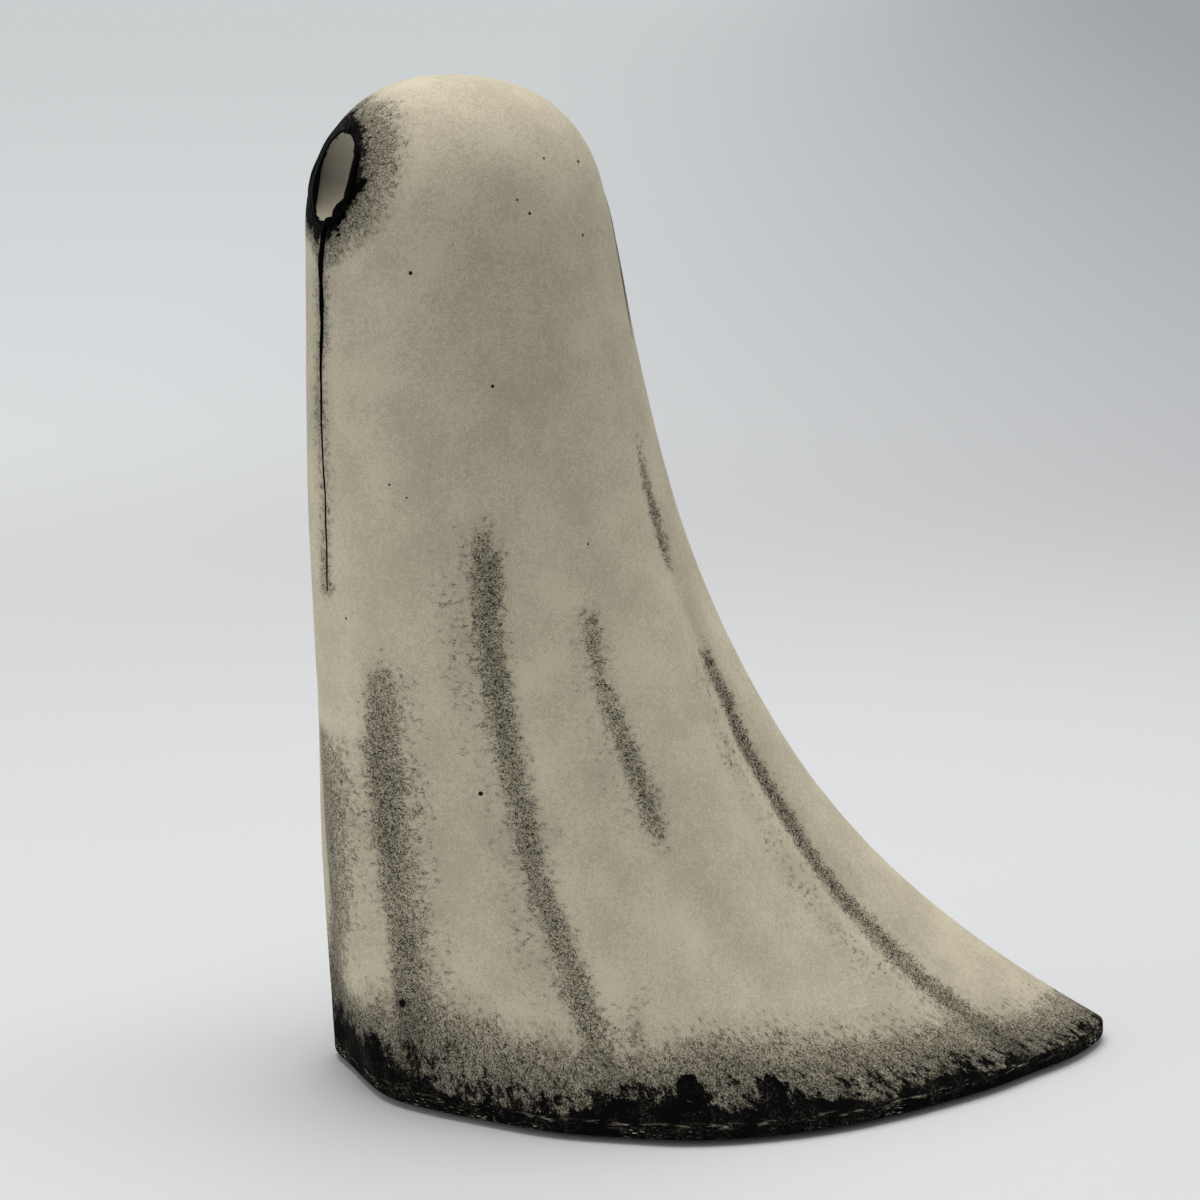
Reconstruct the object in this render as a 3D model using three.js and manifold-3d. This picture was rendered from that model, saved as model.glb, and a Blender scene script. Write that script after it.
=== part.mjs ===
// Ghost figurine: one solid cast figure of a ghost under a sheet, whose train trails on the floor.
// Millimetres, +Z up. The face looks along -Y, the train runs back along +Y, +X is the ghost's left.
// While it is built, the upright axis of the head is X = 0, Y = 0 and the floor is Z = 0.
import * as THREE from "three";
import { mergeVertices } from "three/addons/utils/BufferGeometryUtils.js";
import Module from "manifold-3d";

// Overall
const HEIGHT = 150; // floor to the top of the head
const CLEARANCE = 0.3; // between the casting and the enamel that lies in its channels
const COURSE_STEPS = 5; // equal steps of the height; a course has a value at the floor and above each step

// Head and its crown
const HEAD_WIDTH = 40.5;
const HEAD_DEPTH = 43.4;
const CROWN_HEIGHT = 21.4; // of the rounded top of the head
const CROWN_FULLNESS = 0.84; // 1 is an ellipsoid, less is a fuller, flatter crown
const CROWN_FORWARD = 1.2; // the top of the crown lies this far before the middle of the head

// The sheet's fall from the head to the hem
const SHOULDER_DROP = 16.3; // below the top of the head, where the sheet starts to spread
const EVEN_FLARE = 0.36; // share of the spread that is even over the height, the rest comes low down
const LOW_FLARE_POWER = 3.46;
const LEAN = [0, -0.0323, -0.0191, -0.0161, 0, 0.0173]; // course: leans back by this share of HEAD_DEPTH

// Hem, seen from above: shares [of half its width, of the tail's reach]
const HEM_WIDTH = 72.8;
const TAIL_REACH = 101.1; // behind the head's axis
const HEM_FRONT_DENT = [0.014, -0.163];
const HEM_LEFT = [
  [0.412, -0.112], [0.615, -0.018], [0.861, 0.117], [1, 0.272], [0.967, 0.48], [0.706, 0.712], [0.33, 0.92],
];
const HEM_RIGHT = [
  [-0.288, -0.183], [-0.563, -0.079], [-0.833, 0.096], [-0.989, 0.272], [-0.956, 0.48], [-0.706, 0.712],
  [-0.33, 0.92],
];
const HEM_EDGE = 2.2; // upright edge of the casting above the pads
const HEM_ROUND = 0.8; // round of the lower edge

// Folds of the sheet. Each is a valley that starts at the share top of the height and deepens to the hem.
// Its course is its place along the hem, from the dent at the front to that side of the ghost. The course,
// the depth and the width are shares of the hem's length.
// foot is the share of its depth that is left at the hem, where the sheet lies flatter.
const FOLDS_LEFT = [
  { course: [0.0606, 0.057, 0.0469, 0.0392, 0.0322], top: 0.747, depth: 0.0064, width: 0.0174, foot: 0.35 },
  { course: [0.1762, 0.1571, 0.1317, 0.1106, 0.0955], top: 0.707, depth: 0.0067, width: 0.0235, foot: 0.3 },
  { course: [0.2968, 0.2684, 0.2339, 0.203, 0.1742], top: 0.653, depth: 0.0050, width: 0.0268, foot: 0 },
  { course: [0.4155, 0.4121, 0.4021, 0.3799, 0.3531], top: 0.813, depth: 0.0077, width: 0.0248, foot: 0.3 },
];
const FOLDS_RIGHT = [
  { course: [0.0838, 0.0704, 0.0586, 0.0536, 0.0503], top: 0.693, depth: 0.0067, width: 0.0188, foot: 0.4 },
  { course: [0.1943, 0.1675, 0.1441, 0.1273, 0.1139], top: 0.747, depth: 0.0070, width: 0.0245, foot: 0.3 },
  { course: [0.3082, 0.2781, 0.2446, 0.2211, 0.201], top: 0.56, depth: 0.0047, width: 0.0275, foot: 0.1 },
  { course: [0.4021, 0.3937, 0.3836, 0.3685, 0.3551], top: 0.787, depth: 0.0074, width: 0.0255, foot: 0.35 },
];
const FRONT_FOLD = {
  course: [-0.0184, -0.0151, -0.0117, -0.0084, -0.0067], top: 0.573, depth: 0.0054, width: 0.0168, foot: 0.2,
};
const FOOT_HEIGHT = 30; // height over which a valley reaches its full depth

// Eye sockets
const EYE_SPACING = 15.1; // middle to middle
const EYE_DROP = 13.4; // below the top of the head
const SOCKET_WIDTH = 9;
const SOCKET_HEIGHT = 13.4;
const SOCKET_DEPTH = 3.4;
const SOCKET_TILT = 4; // degrees, the tops lean towards each other

// Enamel round the socket's rim, a flat bead: [degrees from the temple over the top, share of its width]
const RIM_HALF_WIDTH = 1.15; // at its broadest
const RIM_COURSE = [
  [-180, 0.28], [-135, 0.30], [-90, 0.35], [-75, 0.61], [-60, 0.91], [-30, 1.00], [-8, 0.96],
  [12, 0.74], [35, 0.52], [60, 0.43], [95, 0.39], [130, 0.31], [180, 0.28],
];
const RIM_THICKNESS_SHARE = 0.6; // of its width
const RIM_OVERLAP = 0.15; // share of the half width that reaches over the socket's edge

// Tear: a hook round the socket's lower end, as shares of [the socket's width, its height] from its middle,
// and its run down from the hook's end, as shares of [the socket's width, the tear's length]
const TEAR_HOOK = [[0.53, -0.37], [0.39, -0.45], [0.19, -0.47], [0.09, -0.59]];
const TEAR_RUN = [[0.03, 0.075], [0.03, 0.19], [0, 0.36], [-0.02, 0.52], [0.04, 0.74], [0.005, 1]];
const TEAR_LENGTH = 51.8; // below the hook
const TEAR_RADIUS = 0.5;
const TEAR_END_RADIUS = 0.2;

// Felt pads
const PAD_DIAMETER = 9;
const PAD_THICKNESS = 0.8;
const TAIL_PAD_INSET = 19; // from the end of the tail to the middle of its pad
const PAD_INSET = 9; // from the hem to the middle of the other pads
// Places of the other pads, as shares of the hem's length from the dent to the ghost's left
const PAD_PLACES = { front_left: 0.09, front_right: -0.104, side_left: 0.275, side_right: -0.281 };

// Fineness
const HEM_DIVISIONS = 800; // for the hem's length
const AROUND = 88;
const HEM_RINGS = 3;
const FALL_RINGS = 27;
const FALL_CROWDING = 1.45; // more than 1 crowds the rings of the fall towards the hem
const CROWN_RINGS = 11;
const BEAD_SIDES = 8;
const RIM_STEPS = 36;
const TEAR_STEPS = 32;
const SOCKET_SIDES = 24;
const SOCKET_RINGS = 16;
const PAD_SIDES = 32;
const HALVINGS = 30; // of a span, until a place on the face is found
const SLOPE_STEP = 0.4; // over which a direction is measured
const WELD = 1e-4; // corners nearer than this are one
const FACE_SHARE = 1 / 6; // of the hem's length, to each side of the dent: the face lies above it

const CREAM_CAST = { color: 0xb9b19c, roughness: 0.82, metalness: 0 };
const GLOSS_BLACK = { color: 0x0b0b0c, roughness: 0.16, metalness: 0 };
const BLACK_FELT = { color: 0x242424, roughness: 0.97, metalness: 0 };

const UNDERSIDE = PAD_THICKNESS;
const HEM_TOP = UNDERSIDE + HEM_EDGE;
const SHOULDER = HEIGHT - SHOULDER_DROP;
const CROWN_START = HEIGHT - CROWN_HEIGHT;
const COURSE_STEP = HEIGHT / COURSE_STEPS;

const wasm = await Module();
wasm.setup();

const smooth = (t) => THREE.MathUtils.smoothstep(t, 0, 1);

// The hem as one closed curve, from the dent at the front over the ghost's left to the tail and back.
const hemCurve = new THREE.CatmullRomCurve3(
  [HEM_FRONT_DENT, ...HEM_LEFT, [0, 1], ...[...HEM_RIGHT].reverse()].map(
    ([across, back]) => new THREE.Vector3((across * HEM_WIDTH) / 2, back * TAIL_REACH, 0),
  ),
  true,
);
hemCurve.arcLengthDivisions = HEM_DIVISIONS;
const HEM_LENGTH = hemCurve.getLength();

// Point of the hem at a distance along it from the front dent, positive to the ghost's left.
function hemAt(distance) {
  const share = THREE.MathUtils.euclideanModulo(distance, HEM_LENGTH) / HEM_LENGTH;
  return hemCurve.getPointAt(share);
}

// Value of a course at a height, on a smooth line through its values.
function courseAt(course, z) {
  const last = course.length - 1;
  const place = THREE.MathUtils.clamp(z / COURSE_STEP, 0, last);
  const start = Math.min(Math.floor(place), last - 1);
  const t = place - start;
  const slope = (k) => {
    const before = Math.max(k - 1, 0);
    const after = Math.min(k + 1, last);
    return (course[after] - course[before]) / (after - before);
  };
  const from = course[start] * (1 + 2 * t) + slope(start) * t;
  const to = course[start + 1] * (3 - 2 * t) + slope(start + 1) * (t - 1);
  return from * (1 - t) ** 2 + to * t ** 2;
}

// Value between pairs of [place, value], on a straight line from one pair to the next.
function between(pairs, place) {
  const next = Math.max(pairs.findIndex(([at]) => at >= place), 1);
  const [start, from] = pairs[next - 1];
  const [end, to] = pairs[next];
  return THREE.MathUtils.mapLinear(place, start, end, from, to);
}

// Point of the head's oval in the same direction from its axis.
function headAt(hemPoint) {
  const direction = Math.atan2(hemPoint.x, -hemPoint.y);
  const across = Math.sin(direction);
  const back = -Math.cos(direction);
  const radius = 0.5 / Math.hypot(across / HEAD_WIDTH, back / HEAD_DEPTH);
  return new THREE.Vector3(radius * across, radius * back, 0);
}

// How far the sheet has spread at a height: 0 is the head's outline, 1 the hem's.
function spread(z) {
  const down = 1 - THREE.MathUtils.clamp((z - HEM_TOP) / (SHOULDER - HEM_TOP), 0, 1);
  return EVEN_FLARE * down + (1 - EVEN_FLARE) * down ** LOW_FLARE_POWER;
}

// Share of the outline that is left at a height on the crown.
function crown(z) {
  const up = THREE.MathUtils.clamp((z - CROWN_START) / CROWN_HEIGHT, 0, 1);
  return Math.sqrt(1 - up * up) ** CROWN_FULLNESS;
}

// How far the round of the lower edge draws the hem in at a height.
function hemRound(z) {
  const under = THREE.MathUtils.clamp(UNDERSIDE + HEM_ROUND - z, 0, HEM_ROUND);
  return HEM_ROUND - Math.sqrt(HEM_ROUND ** 2 - under ** 2);
}

// Depth of one valley at a distance along the hem and a height.
function valley(fold, distance, z) {
  const share = distance / HEM_LENGTH - courseAt(fold.course, z);
  const away = THREE.MathUtils.euclideanModulo(share + 0.5, 1) - 0.5;
  const footing = THREE.MathUtils.lerp(fold.foot, 1, smooth(z / FOOT_HEIGHT));
  const strength = smooth(1 - z / (fold.top * HEIGHT)) * footing;
  return fold.depth * HEM_LENGTH * strength * Math.exp(-((away / fold.width) ** 2));
}

function foldDepth(distance, z) {
  const left = FOLDS_LEFT.reduce((sum, fold) => sum + valley(fold, distance, z), 0);
  const right = FOLDS_RIGHT.reduce((sum, fold) => sum + valley(fold, -distance, z), 0);
  return left + right + valley(FRONT_FOLD, distance, z);
}

// The sheet without its folds.
function smoothSheet(distance, z) {
  const hem = hemAt(distance);
  const point = headAt(hem).lerp(hem, spread(z));
  const left = crown(z);
  const back = courseAt(LEAN, z) * HEAD_DEPTH - CROWN_FORWARD * (1 - left);
  return new THREE.Vector3(point.x * left, point.y * left + back, z);
}

// The finished surface at a distance along the hem and a height.
function sheet(distance, z) {
  const point = smoothSheet(distance, z);
  const along = smoothSheet(distance + SLOPE_STEP, z).sub(smoothSheet(distance - SLOPE_STEP, z));
  const outward = new THREE.Vector3(along.y, -along.x, 0).normalize();
  return point.addScaledVector(outward, -foldDepth(distance, z) - hemRound(z));
}

// Place in a span up to which a rule holds, found by halving.
function lastWhere(holds, low, high) {
  for (let i = 0; i < HALVINGS; i += 1) {
    const middle = (low + high) / 2;
    if (holds(middle)) low = middle;
    else high = middle;
  }
  return (low + high) / 2;
}

// The surface of the face at a width from the middle and a height.
function face(x, z) {
  const reach = HEM_LENGTH * FACE_SHARE;
  return sheet(lastWhere((distance) => sheet(distance, z).x < x, -reach, reach), z);
}

function faceNormal(x, z) {
  const across = face(x + SLOPE_STEP, z).sub(face(x - SLOPE_STEP, z));
  const up = face(x, z + SLOPE_STEP).sub(face(x, z - SLOPE_STEP));
  return across.cross(up).normalize();
}

function geometryFrom(positions, triangles) {
  const geometry = new THREE.BufferGeometry();
  geometry.setAttribute("position", new THREE.Float32BufferAttribute(positions, 3));
  geometry.setIndex(triangles);
  return geometry;
}

// Skin over rings of equal count, closed by a cap at each end, or by joining its ends in a loop.
function skin(rings, { loop = false, caps = null } = {}) {
  const count = rings[0].length;
  const positions = rings.flat().flatMap((point) => point.toArray());
  const triangles = [];
  const steps = loop ? rings.length : rings.length - 1;
  for (let i = 0; i < steps; i += 1) {
    const here = i * count;
    const next = ((i + 1) % rings.length) * count;
    for (let j = 0; j < count; j += 1) {
      const k = (j + 1) % count;
      triangles.push(here + j, here + k, next + k, here + j, next + k, next + j);
    }
  }
  if (caps) {
    const first = positions.length / 3;
    positions.push(...caps[0].toArray(), ...caps[1].toArray());
    const last = (rings.length - 1) * count;
    for (let j = 0; j < count; j += 1) {
      const k = (j + 1) % count;
      triangles.push(first, k, j, first + 1, last + j, last + k);
    }
  }
  return geometryFrom(positions, triangles);
}

// Oval bead along points of the face, with its own half width and half thickness at each point.
function bead(points, widths, heights, loop) {
  const count = points.length;
  const rings = points.map((point, i) => {
    const before = points[loop ? (i + count - 1) % count : Math.max(i - 1, 0)];
    const after = points[loop ? (i + 1) % count : Math.min(i + 1, count - 1)];
    const along = after.clone().sub(before).normalize();
    const outward = faceNormal(point.x, point.z);
    const side = along.clone().cross(outward).normalize();
    const out = along.clone().cross(side);
    return Array.from({ length: BEAD_SIDES }, (_, j) => {
      const turn = (j / BEAD_SIDES) * 2 * Math.PI;
      return point
        .clone()
        .addScaledVector(side, widths[i] * Math.cos(turn))
        .addScaledVector(out, heights[i] * Math.sin(turn));
    });
  });
  return skin(rings, loop ? { loop } : { caps: [points[0], points[count - 1]] });
}

// Solids for cutting and joining, and back.
function solid(geometry) {
  const bare = geometry.clone();
  bare.deleteAttribute("normal");
  bare.deleteAttribute("uv");
  const merged = mergeVertices(bare, WELD);
  return new wasm.Manifold(
    new wasm.Mesh({
      numProp: 3,
      vertProperties: merged.attributes.position.array,
      triVerts: new Uint32Array(merged.index.array),
    }),
  );
}

function fromSolid(made) {
  const mesh = made.getMesh();
  return geometryFrom(Array.from(mesh.vertProperties), Array.from(mesh.triVerts));
}

// Body of the figure: rings from the flat underside over the hem, the fall and the crown.
function drapedBody() {
  const distances = Array.from({ length: AROUND }, (_, i) => (i / AROUND) * HEM_LENGTH);
  const heights = [];
  for (let i = 0; i < HEM_RINGS; i += 1) {
    heights.push(UNDERSIDE + HEM_ROUND * (1 - Math.cos(((i / HEM_RINGS) * Math.PI) / 2)));
  }
  heights.push(UNDERSIDE + HEM_ROUND);
  for (let i = 0; i <= FALL_RINGS; i += 1) {
    heights.push(HEM_TOP + (CROWN_START - HEM_TOP) * (i / FALL_RINGS) ** FALL_CROWDING);
  }
  for (let i = 1; i < CROWN_RINGS; i += 1) {
    heights.push(CROWN_START + CROWN_HEIGHT * Math.sin(((i / CROWN_RINGS) * Math.PI) / 2));
  }
  const rings = heights.map((z) => distances.map((distance) => sheet(distance, z)));
  const middle = rings[0].reduce((sum, point) => sum.add(point), new THREE.Vector3()).divideScalar(AROUND);
  return skin(rings, { caps: [middle, sheet(0, HEIGHT)] });
}

// One eye, side 1 for the ghost's left and -1 for its right.
class Eye {
  constructor(side) {
    const x = (side * EYE_SPACING) / 2;
    const z = HEIGHT - EYE_DROP;
    const tilt = THREE.MathUtils.degToRad(side * SOCKET_TILT);
    this.side = side;
    this.x = x;
    this.z = z;
    this.middle = face(x, z);
    this.outward = faceNormal(x, z);
    this.across = new THREE.Vector3(-this.outward.y, this.outward.x, 0).normalize();
    this.across.applyAxisAngle(this.outward, tilt).multiplyScalar(side);
    this.up = this.outward.clone().cross(this.across).multiplyScalar(side);
  }

  // Drops a place on the eye's plane onto the face: wide towards the temple, rise along its long axis.
  onFace(wide, rise) {
    const at = (depth) =>
      this.middle
        .clone()
        .addScaledVector(this.across, wide)
        .addScaledVector(this.up, rise)
        .addScaledVector(this.outward, depth);
    const inside = (depth) => at(depth).y > face(at(depth).x, at(depth).z).y;
    return at(lastWhere(inside, -SOCKET_WIDTH, SOCKET_DEPTH));
  }

  // Hollow of the socket: an ellipsoid whose middle lies on the face.
  socket() {
    const place = new THREE.Matrix4()
      .makeBasis(this.across.clone().multiplyScalar(this.side), this.outward, this.up.clone().negate())
      .setPosition(this.middle);
    const hollow = new THREE.SphereGeometry(1, SOCKET_SIDES, SOCKET_RINGS);
    hollow.scale(SOCKET_WIDTH / 2, SOCKET_DEPTH, SOCKET_HEIGHT / 2);
    return hollow.applyMatrix4(place);
  }

  // Bead round the rim, broad at the temple and below it, thin beside the nose.
  rimBead(extra) {
    const turns = Array.from({ length: RIM_STEPS }, (_, i) => (i * 360) / RIM_STEPS - 180);
    const halves = turns.map((turn) => between(RIM_COURSE, turn) * RIM_HALF_WIDTH);
    const points = turns.map((turn, i) => {
      const angle = THREE.MathUtils.degToRad(turn);
      const out = halves[i] * (1 - RIM_OVERLAP);
      const wide = (SOCKET_WIDTH / 2 + out) * Math.cos(angle);
      const rise = (SOCKET_HEIGHT / 2 + out) * Math.sin(angle);
      return this.onFace(wide, rise);
    });
    const widths = halves.map((half) => half + extra);
    const heights = halves.map((half) => half * RIM_THICKNESS_SHARE + extra);
    return bead(points, widths, heights, true);
  }

  // Tear from below the temple, round the socket's lower end and down the face.
  tearBead(extra) {
    const place = (across, drop) =>
      new THREE.Vector3(this.x + this.side * across * SOCKET_WIDTH, 0, this.z - drop);
    const hook = TEAR_HOOK.map(([across, rise]) => place(across, -rise * SOCKET_HEIGHT));
    const hookEnd = this.z - hook.at(-1).z;
    const run = TEAR_RUN.map(([across, down]) => place(across, hookEnd + down * TEAR_LENGTH));
    const flat = new THREE.CatmullRomCurve3([...hook, ...run]).getSpacedPoints(TEAR_STEPS);
    const points = flat.map((point) => face(point.x, point.z));
    const radii = flat.map((_, i) => {
      const share = i / TEAR_STEPS;
      return THREE.MathUtils.lerp(TEAR_RADIUS, TEAR_END_RADIUS, share) + extra;
    });
    return bead(points, radii, radii, false);
  }

  enamel(extra = 0) {
    return solid(this.rimBead(extra)).add(solid(this.tearBead(extra)));
  }
}

const leftEye = new Eye(1);
const rightEye = new Eye(-1);

// The casting: the draped body with its sockets, and the channels that the enamel lies in.
function casting() {
  const cuts = [leftEye, rightEye].map((eye) => solid(eye.socket()).add(eye.enamel(CLEARANCE)));
  return fromSolid(cuts.reduce((body, cut) => body.subtract(cut), solid(drapedBody())));
}

function feltPad() {
  const pad = new THREE.CylinderGeometry(PAD_DIAMETER / 2, PAD_DIAMETER / 2, PAD_THICKNESS, PAD_SIDES);
  return pad.rotateX(Math.PI / 2).translate(0, 0, PAD_THICKNESS / 2);
}

// Middle of a pad at a distance along the hem, inward from it.
function padMiddle(distance) {
  const along = hemAt(distance + SLOPE_STEP).sub(hemAt(distance - SLOPE_STEP)).normalize();
  return hemAt(distance).add(new THREE.Vector3(-along.y, along.x, 0).multiplyScalar(PAD_INSET));
}

function part(name, geometry, finish) {
  const mesh = new THREE.Mesh(geometry, new THREE.MeshStandardMaterial(finish));
  mesh.name = name;
  return mesh;
}

const ghost = new THREE.Group();
ghost.add(part("ghost_casting", casting(), CREAM_CAST));
ghost.add(part("left_eye_enamel", fromSolid(leftEye.enamel()), GLOSS_BLACK));
ghost.add(part("right_eye_enamel", fromSolid(rightEye.enamel()), GLOSS_BLACK));

for (const [place, share] of Object.entries(PAD_PLACES)) {
  const pad = part(`felt_pad_${place}`, feltPad(), BLACK_FELT);
  pad.position.copy(padMiddle(share * HEM_LENGTH));
  ghost.add(pad);
}
const tailPad = part("felt_pad_tail", feltPad(), BLACK_FELT);
tailPad.position.set(0, TAIL_REACH - TAIL_PAD_INSET, 0);
ghost.add(tailPad);

// The origin moves to the floor under the middle of the object's box.
const box = new THREE.Box3().setFromObject(ghost, true);
ghost.position.set(-(box.min.x + box.max.x) / 2, -(box.min.y + box.max.y) / 2, 0);

export default ghost;
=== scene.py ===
"""Looks of a cast ghost figurine: the draped casting, its enamelled eyes, its felt pads and the studio round it.

Metres, +Z up. The face looks along -Y, the train runs back along +Y and +X is the ghost's left.
"""

import logging
import math
from collections.abc import Callable, Sequence
from dataclasses import dataclass
from enum import Enum

import bpy
import numpy as np
from mathutils import Matrix, Vector, noise
from mathutils.kdtree import KDTree


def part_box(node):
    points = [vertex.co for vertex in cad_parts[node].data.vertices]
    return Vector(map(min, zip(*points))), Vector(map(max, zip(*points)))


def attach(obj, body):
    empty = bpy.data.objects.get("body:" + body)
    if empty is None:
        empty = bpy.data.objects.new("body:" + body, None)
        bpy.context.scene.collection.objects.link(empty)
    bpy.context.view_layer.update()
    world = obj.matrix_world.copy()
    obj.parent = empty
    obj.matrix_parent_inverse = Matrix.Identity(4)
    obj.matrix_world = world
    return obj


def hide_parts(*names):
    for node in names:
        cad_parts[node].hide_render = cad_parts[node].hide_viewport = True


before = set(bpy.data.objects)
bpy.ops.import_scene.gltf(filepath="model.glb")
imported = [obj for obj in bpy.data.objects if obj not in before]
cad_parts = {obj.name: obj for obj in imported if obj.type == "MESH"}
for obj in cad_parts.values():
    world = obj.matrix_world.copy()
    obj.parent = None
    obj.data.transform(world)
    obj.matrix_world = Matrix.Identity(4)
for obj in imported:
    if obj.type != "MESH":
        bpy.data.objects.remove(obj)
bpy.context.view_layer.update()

LOG = logging.getLogger("ghost_figurine")
MM = 0.001
BODY = "root"
TINY = 1e-9

Array = np.ndarray


class Side(Enum):
    """The ghost's own left and right."""

    LEFT = 1
    RIGHT = -1


def smooth(share: Array | float) -> Array | float:
    """Eases a share from 0 to 1, and holds it outside.

    Args:
        share: The share or shares.

    Returns:
        The eased share or shares.
    """
    held = np.clip(share, 0.0, 1.0)
    return held * held * (3.0 - 2.0 * held)


def run_through(course: Sequence[float], step: float, height: Array) -> Array:
    """Reads a smooth course that is given at even heights.

    Args:
        course: Values at the heights 0, step, 2 step and so on.
        step: Height between two values.
        height: Heights to read it at.

    Returns:
        The course's value at each height, held beyond its last one.
    """
    values = np.asarray(course, float)
    last = len(values) - 1
    place = np.clip(np.asarray(height, float) / step, 0.0, last)
    index = np.minimum(place.astype(int), last - 1)
    share = place - index
    slopes = np.gradient(values)
    start, end = values[index], values[index + 1]
    near, far = slopes[index], slopes[index + 1]
    return (
        start * (1 + 2 * share) * (1 - share) ** 2
        + near * share * (1 - share) ** 2
        + end * share**2 * (3 - 2 * share)
        + far * share**2 * (share - 1)
    )


def halved(low: Array, high: Array, short: Callable[[Array], Array], times: int) -> Array:
    """Narrows ranges by halves to where a test changes.

    Args:
        low: The ranges' lower ends, where the test is true.
        high: Their upper ends, where it is false.
        short: The test.
        times: How often to halve.

    Returns:
        The middles of the last ranges.
    """
    for _ in range(times):
        middle = (low + high) / 2
        under = short(middle)
        low, high = np.where(under, middle, low), np.where(under, high, middle)
    return (low + high) / 2


@dataclass(frozen=True)
class Fold:
    """One valley of the sheet, which deepens from its top down to the hem.

    Its course is its place along the hem in mm at every 30 mm of height, and foot is the share of its
    depth that is left at the hem.
    """

    course: tuple[float, ...]
    top: float
    depth: float
    width: float
    foot: float


@dataclass
class SheetForm:
    """The draped sheet's form: a head's oval that spreads to the hem's outline, with folds.

    The hem's points are shares of half its width and of the tail's reach. The lean is how far the body
    shifts back at every course step of height. The face is looked for within one of face_parts of the
    hem to either side.
    """

    height: float = 150.0
    head_width: float = 40.5
    head_depth: float = 43.4
    crown_height: float = 21.4
    crown_fullness: float = 0.84
    crown_forward: float = 1.2
    shoulder_drop: float = 16.3
    even_flare: float = 0.36
    low_flare_power: float = 3.46
    lean: tuple[float, ...] = (0.0, -1.4, -0.83, -0.7, 0.0, 0.75)
    underside: float = 0.8
    hem_edge: float = 2.2
    hem_round: float = 0.8
    foot_height: float = 30.0
    course_step: float = 30.0
    hem_width: float = 72.8
    tail_reach: float = 101.1
    hem_points: tuple[tuple[float, float], ...] = (
        (0.014, -0.163), (0.412, -0.112), (0.615, -0.018), (0.861, 0.117), (1.0, 0.272), (0.967, 0.48), (0.706, 0.712),
        (0.33, 0.92), (0.0, 1.0), (-0.33, 0.92), (-0.706, 0.712), (-0.956, 0.48), (-0.989, 0.272), (-0.833, 0.096),
        (-0.563, -0.079), (-0.288, -0.183),
    )
    folds_left: tuple[Fold, ...] = (
        Fold((18.1, 17.0, 14.0, 11.7, 9.6), 112.0, 1.9, 5.2, 0.35),
        Fold((52.6, 46.9, 39.3, 33.0, 28.5), 106.0, 2.0, 7.0, 0.3),
        Fold((88.6, 80.1, 69.8, 60.6, 52.0), 98.0, 1.5, 8.0, 0.0),
        Fold((124.0, 123.0, 120.0, 113.4, 105.4), 122.0, 2.3, 7.4, 0.3),
    )
    folds_right: tuple[Fold, ...] = (
        Fold((25.0, 21.0, 17.5, 16.0, 15.0), 104.0, 2.0, 5.6, 0.4),
        Fold((58.0, 50.0, 43.0, 38.0, 34.0), 112.0, 2.1, 7.3, 0.3),
        Fold((92.0, 83.0, 73.0, 66.0, 60.0), 84.0, 1.4, 8.2, 0.1),
        Fold((120.0, 117.5, 114.5, 110.0, 106.0), 118.0, 2.2, 7.6, 0.35),
    )
    front_fold: Fold = Fold((-5.5, -4.5, -3.5, -2.5, -2.0), 86.0, 1.6, 5.0, 0.2)
    curve_steps: int = 64
    turn_samples: int = 400
    level_samples: int = 90
    slope_step: float = 0.5
    face_parts: int = 6
    face_halvings: int = 36

    def __post_init__(self) -> None:
        """Draws the hem's closed curve and the place of the whole form in the frame."""
        points = np.array(self.hem_points) * (self.hem_width / 2, self.tail_reach)
        count = len(points)
        shares = np.linspace(0.0, 1.0, self.curve_steps, endpoint=False)[:, None]
        runs = []
        for i in range(count):
            before, start, end, after = (points[(i + k) % count] for k in (-1, 0, 1, 2))
            gaps = [np.linalg.norm(b - a) ** 0.5 for a, b in ((before, start), (start, end), (end, after))]
            leaving = (start - before) / gaps[0] - (end - before) / (gaps[0] + gaps[1]) + (end - start) / gaps[1]
            coming = (end - start) / gaps[1] - (after - start) / (gaps[1] + gaps[2]) + (after - end) / gaps[2]
            leaving, coming = leaving * gaps[1], coming * gaps[1]
            square = -3 * start + 3 * end - 2 * leaving - coming
            cube = 2 * start - 2 * end + leaving + coming
            runs.append(start + leaving * shares + square * shares**2 + cube * shares**3)
        self.curve = np.vstack([*runs, points[:1]])
        steps = np.linalg.norm(np.diff(self.curve, axis=0), axis=1)
        self.along = np.concatenate([[0.0], np.cumsum(steps)])
        self.hem_length = float(self.along[-1])
        self.hem_top = self.underside + self.hem_edge
        self.shoulder = self.height - self.shoulder_drop
        self.crown_start = self.height - self.crown_height
        self.shift = np.zeros(3)
        turns = np.linspace(0.0, self.hem_length, self.turn_samples)
        turns, levels = np.meshgrid(turns, np.linspace(0.0, self.height, self.level_samples))
        whole = self.point(turns, levels + self.underside * (levels == 0)).reshape(-1, 3)
        low, high = whole.min(axis=0), whole.max(axis=0)
        self.shift = np.array([-(low[0] + high[0]) / 2, -(low[1] + high[1]) / 2, 0.0])

    def hem(self, distance: Array) -> Array:
        """Gives the hem's points at distances along it from the front dent, positive to the left."""
        place = np.mod(distance, self.hem_length)
        return np.stack([np.interp(place, self.along, self.curve[:, i]) for i in (0, 1)], axis=-1)

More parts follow.
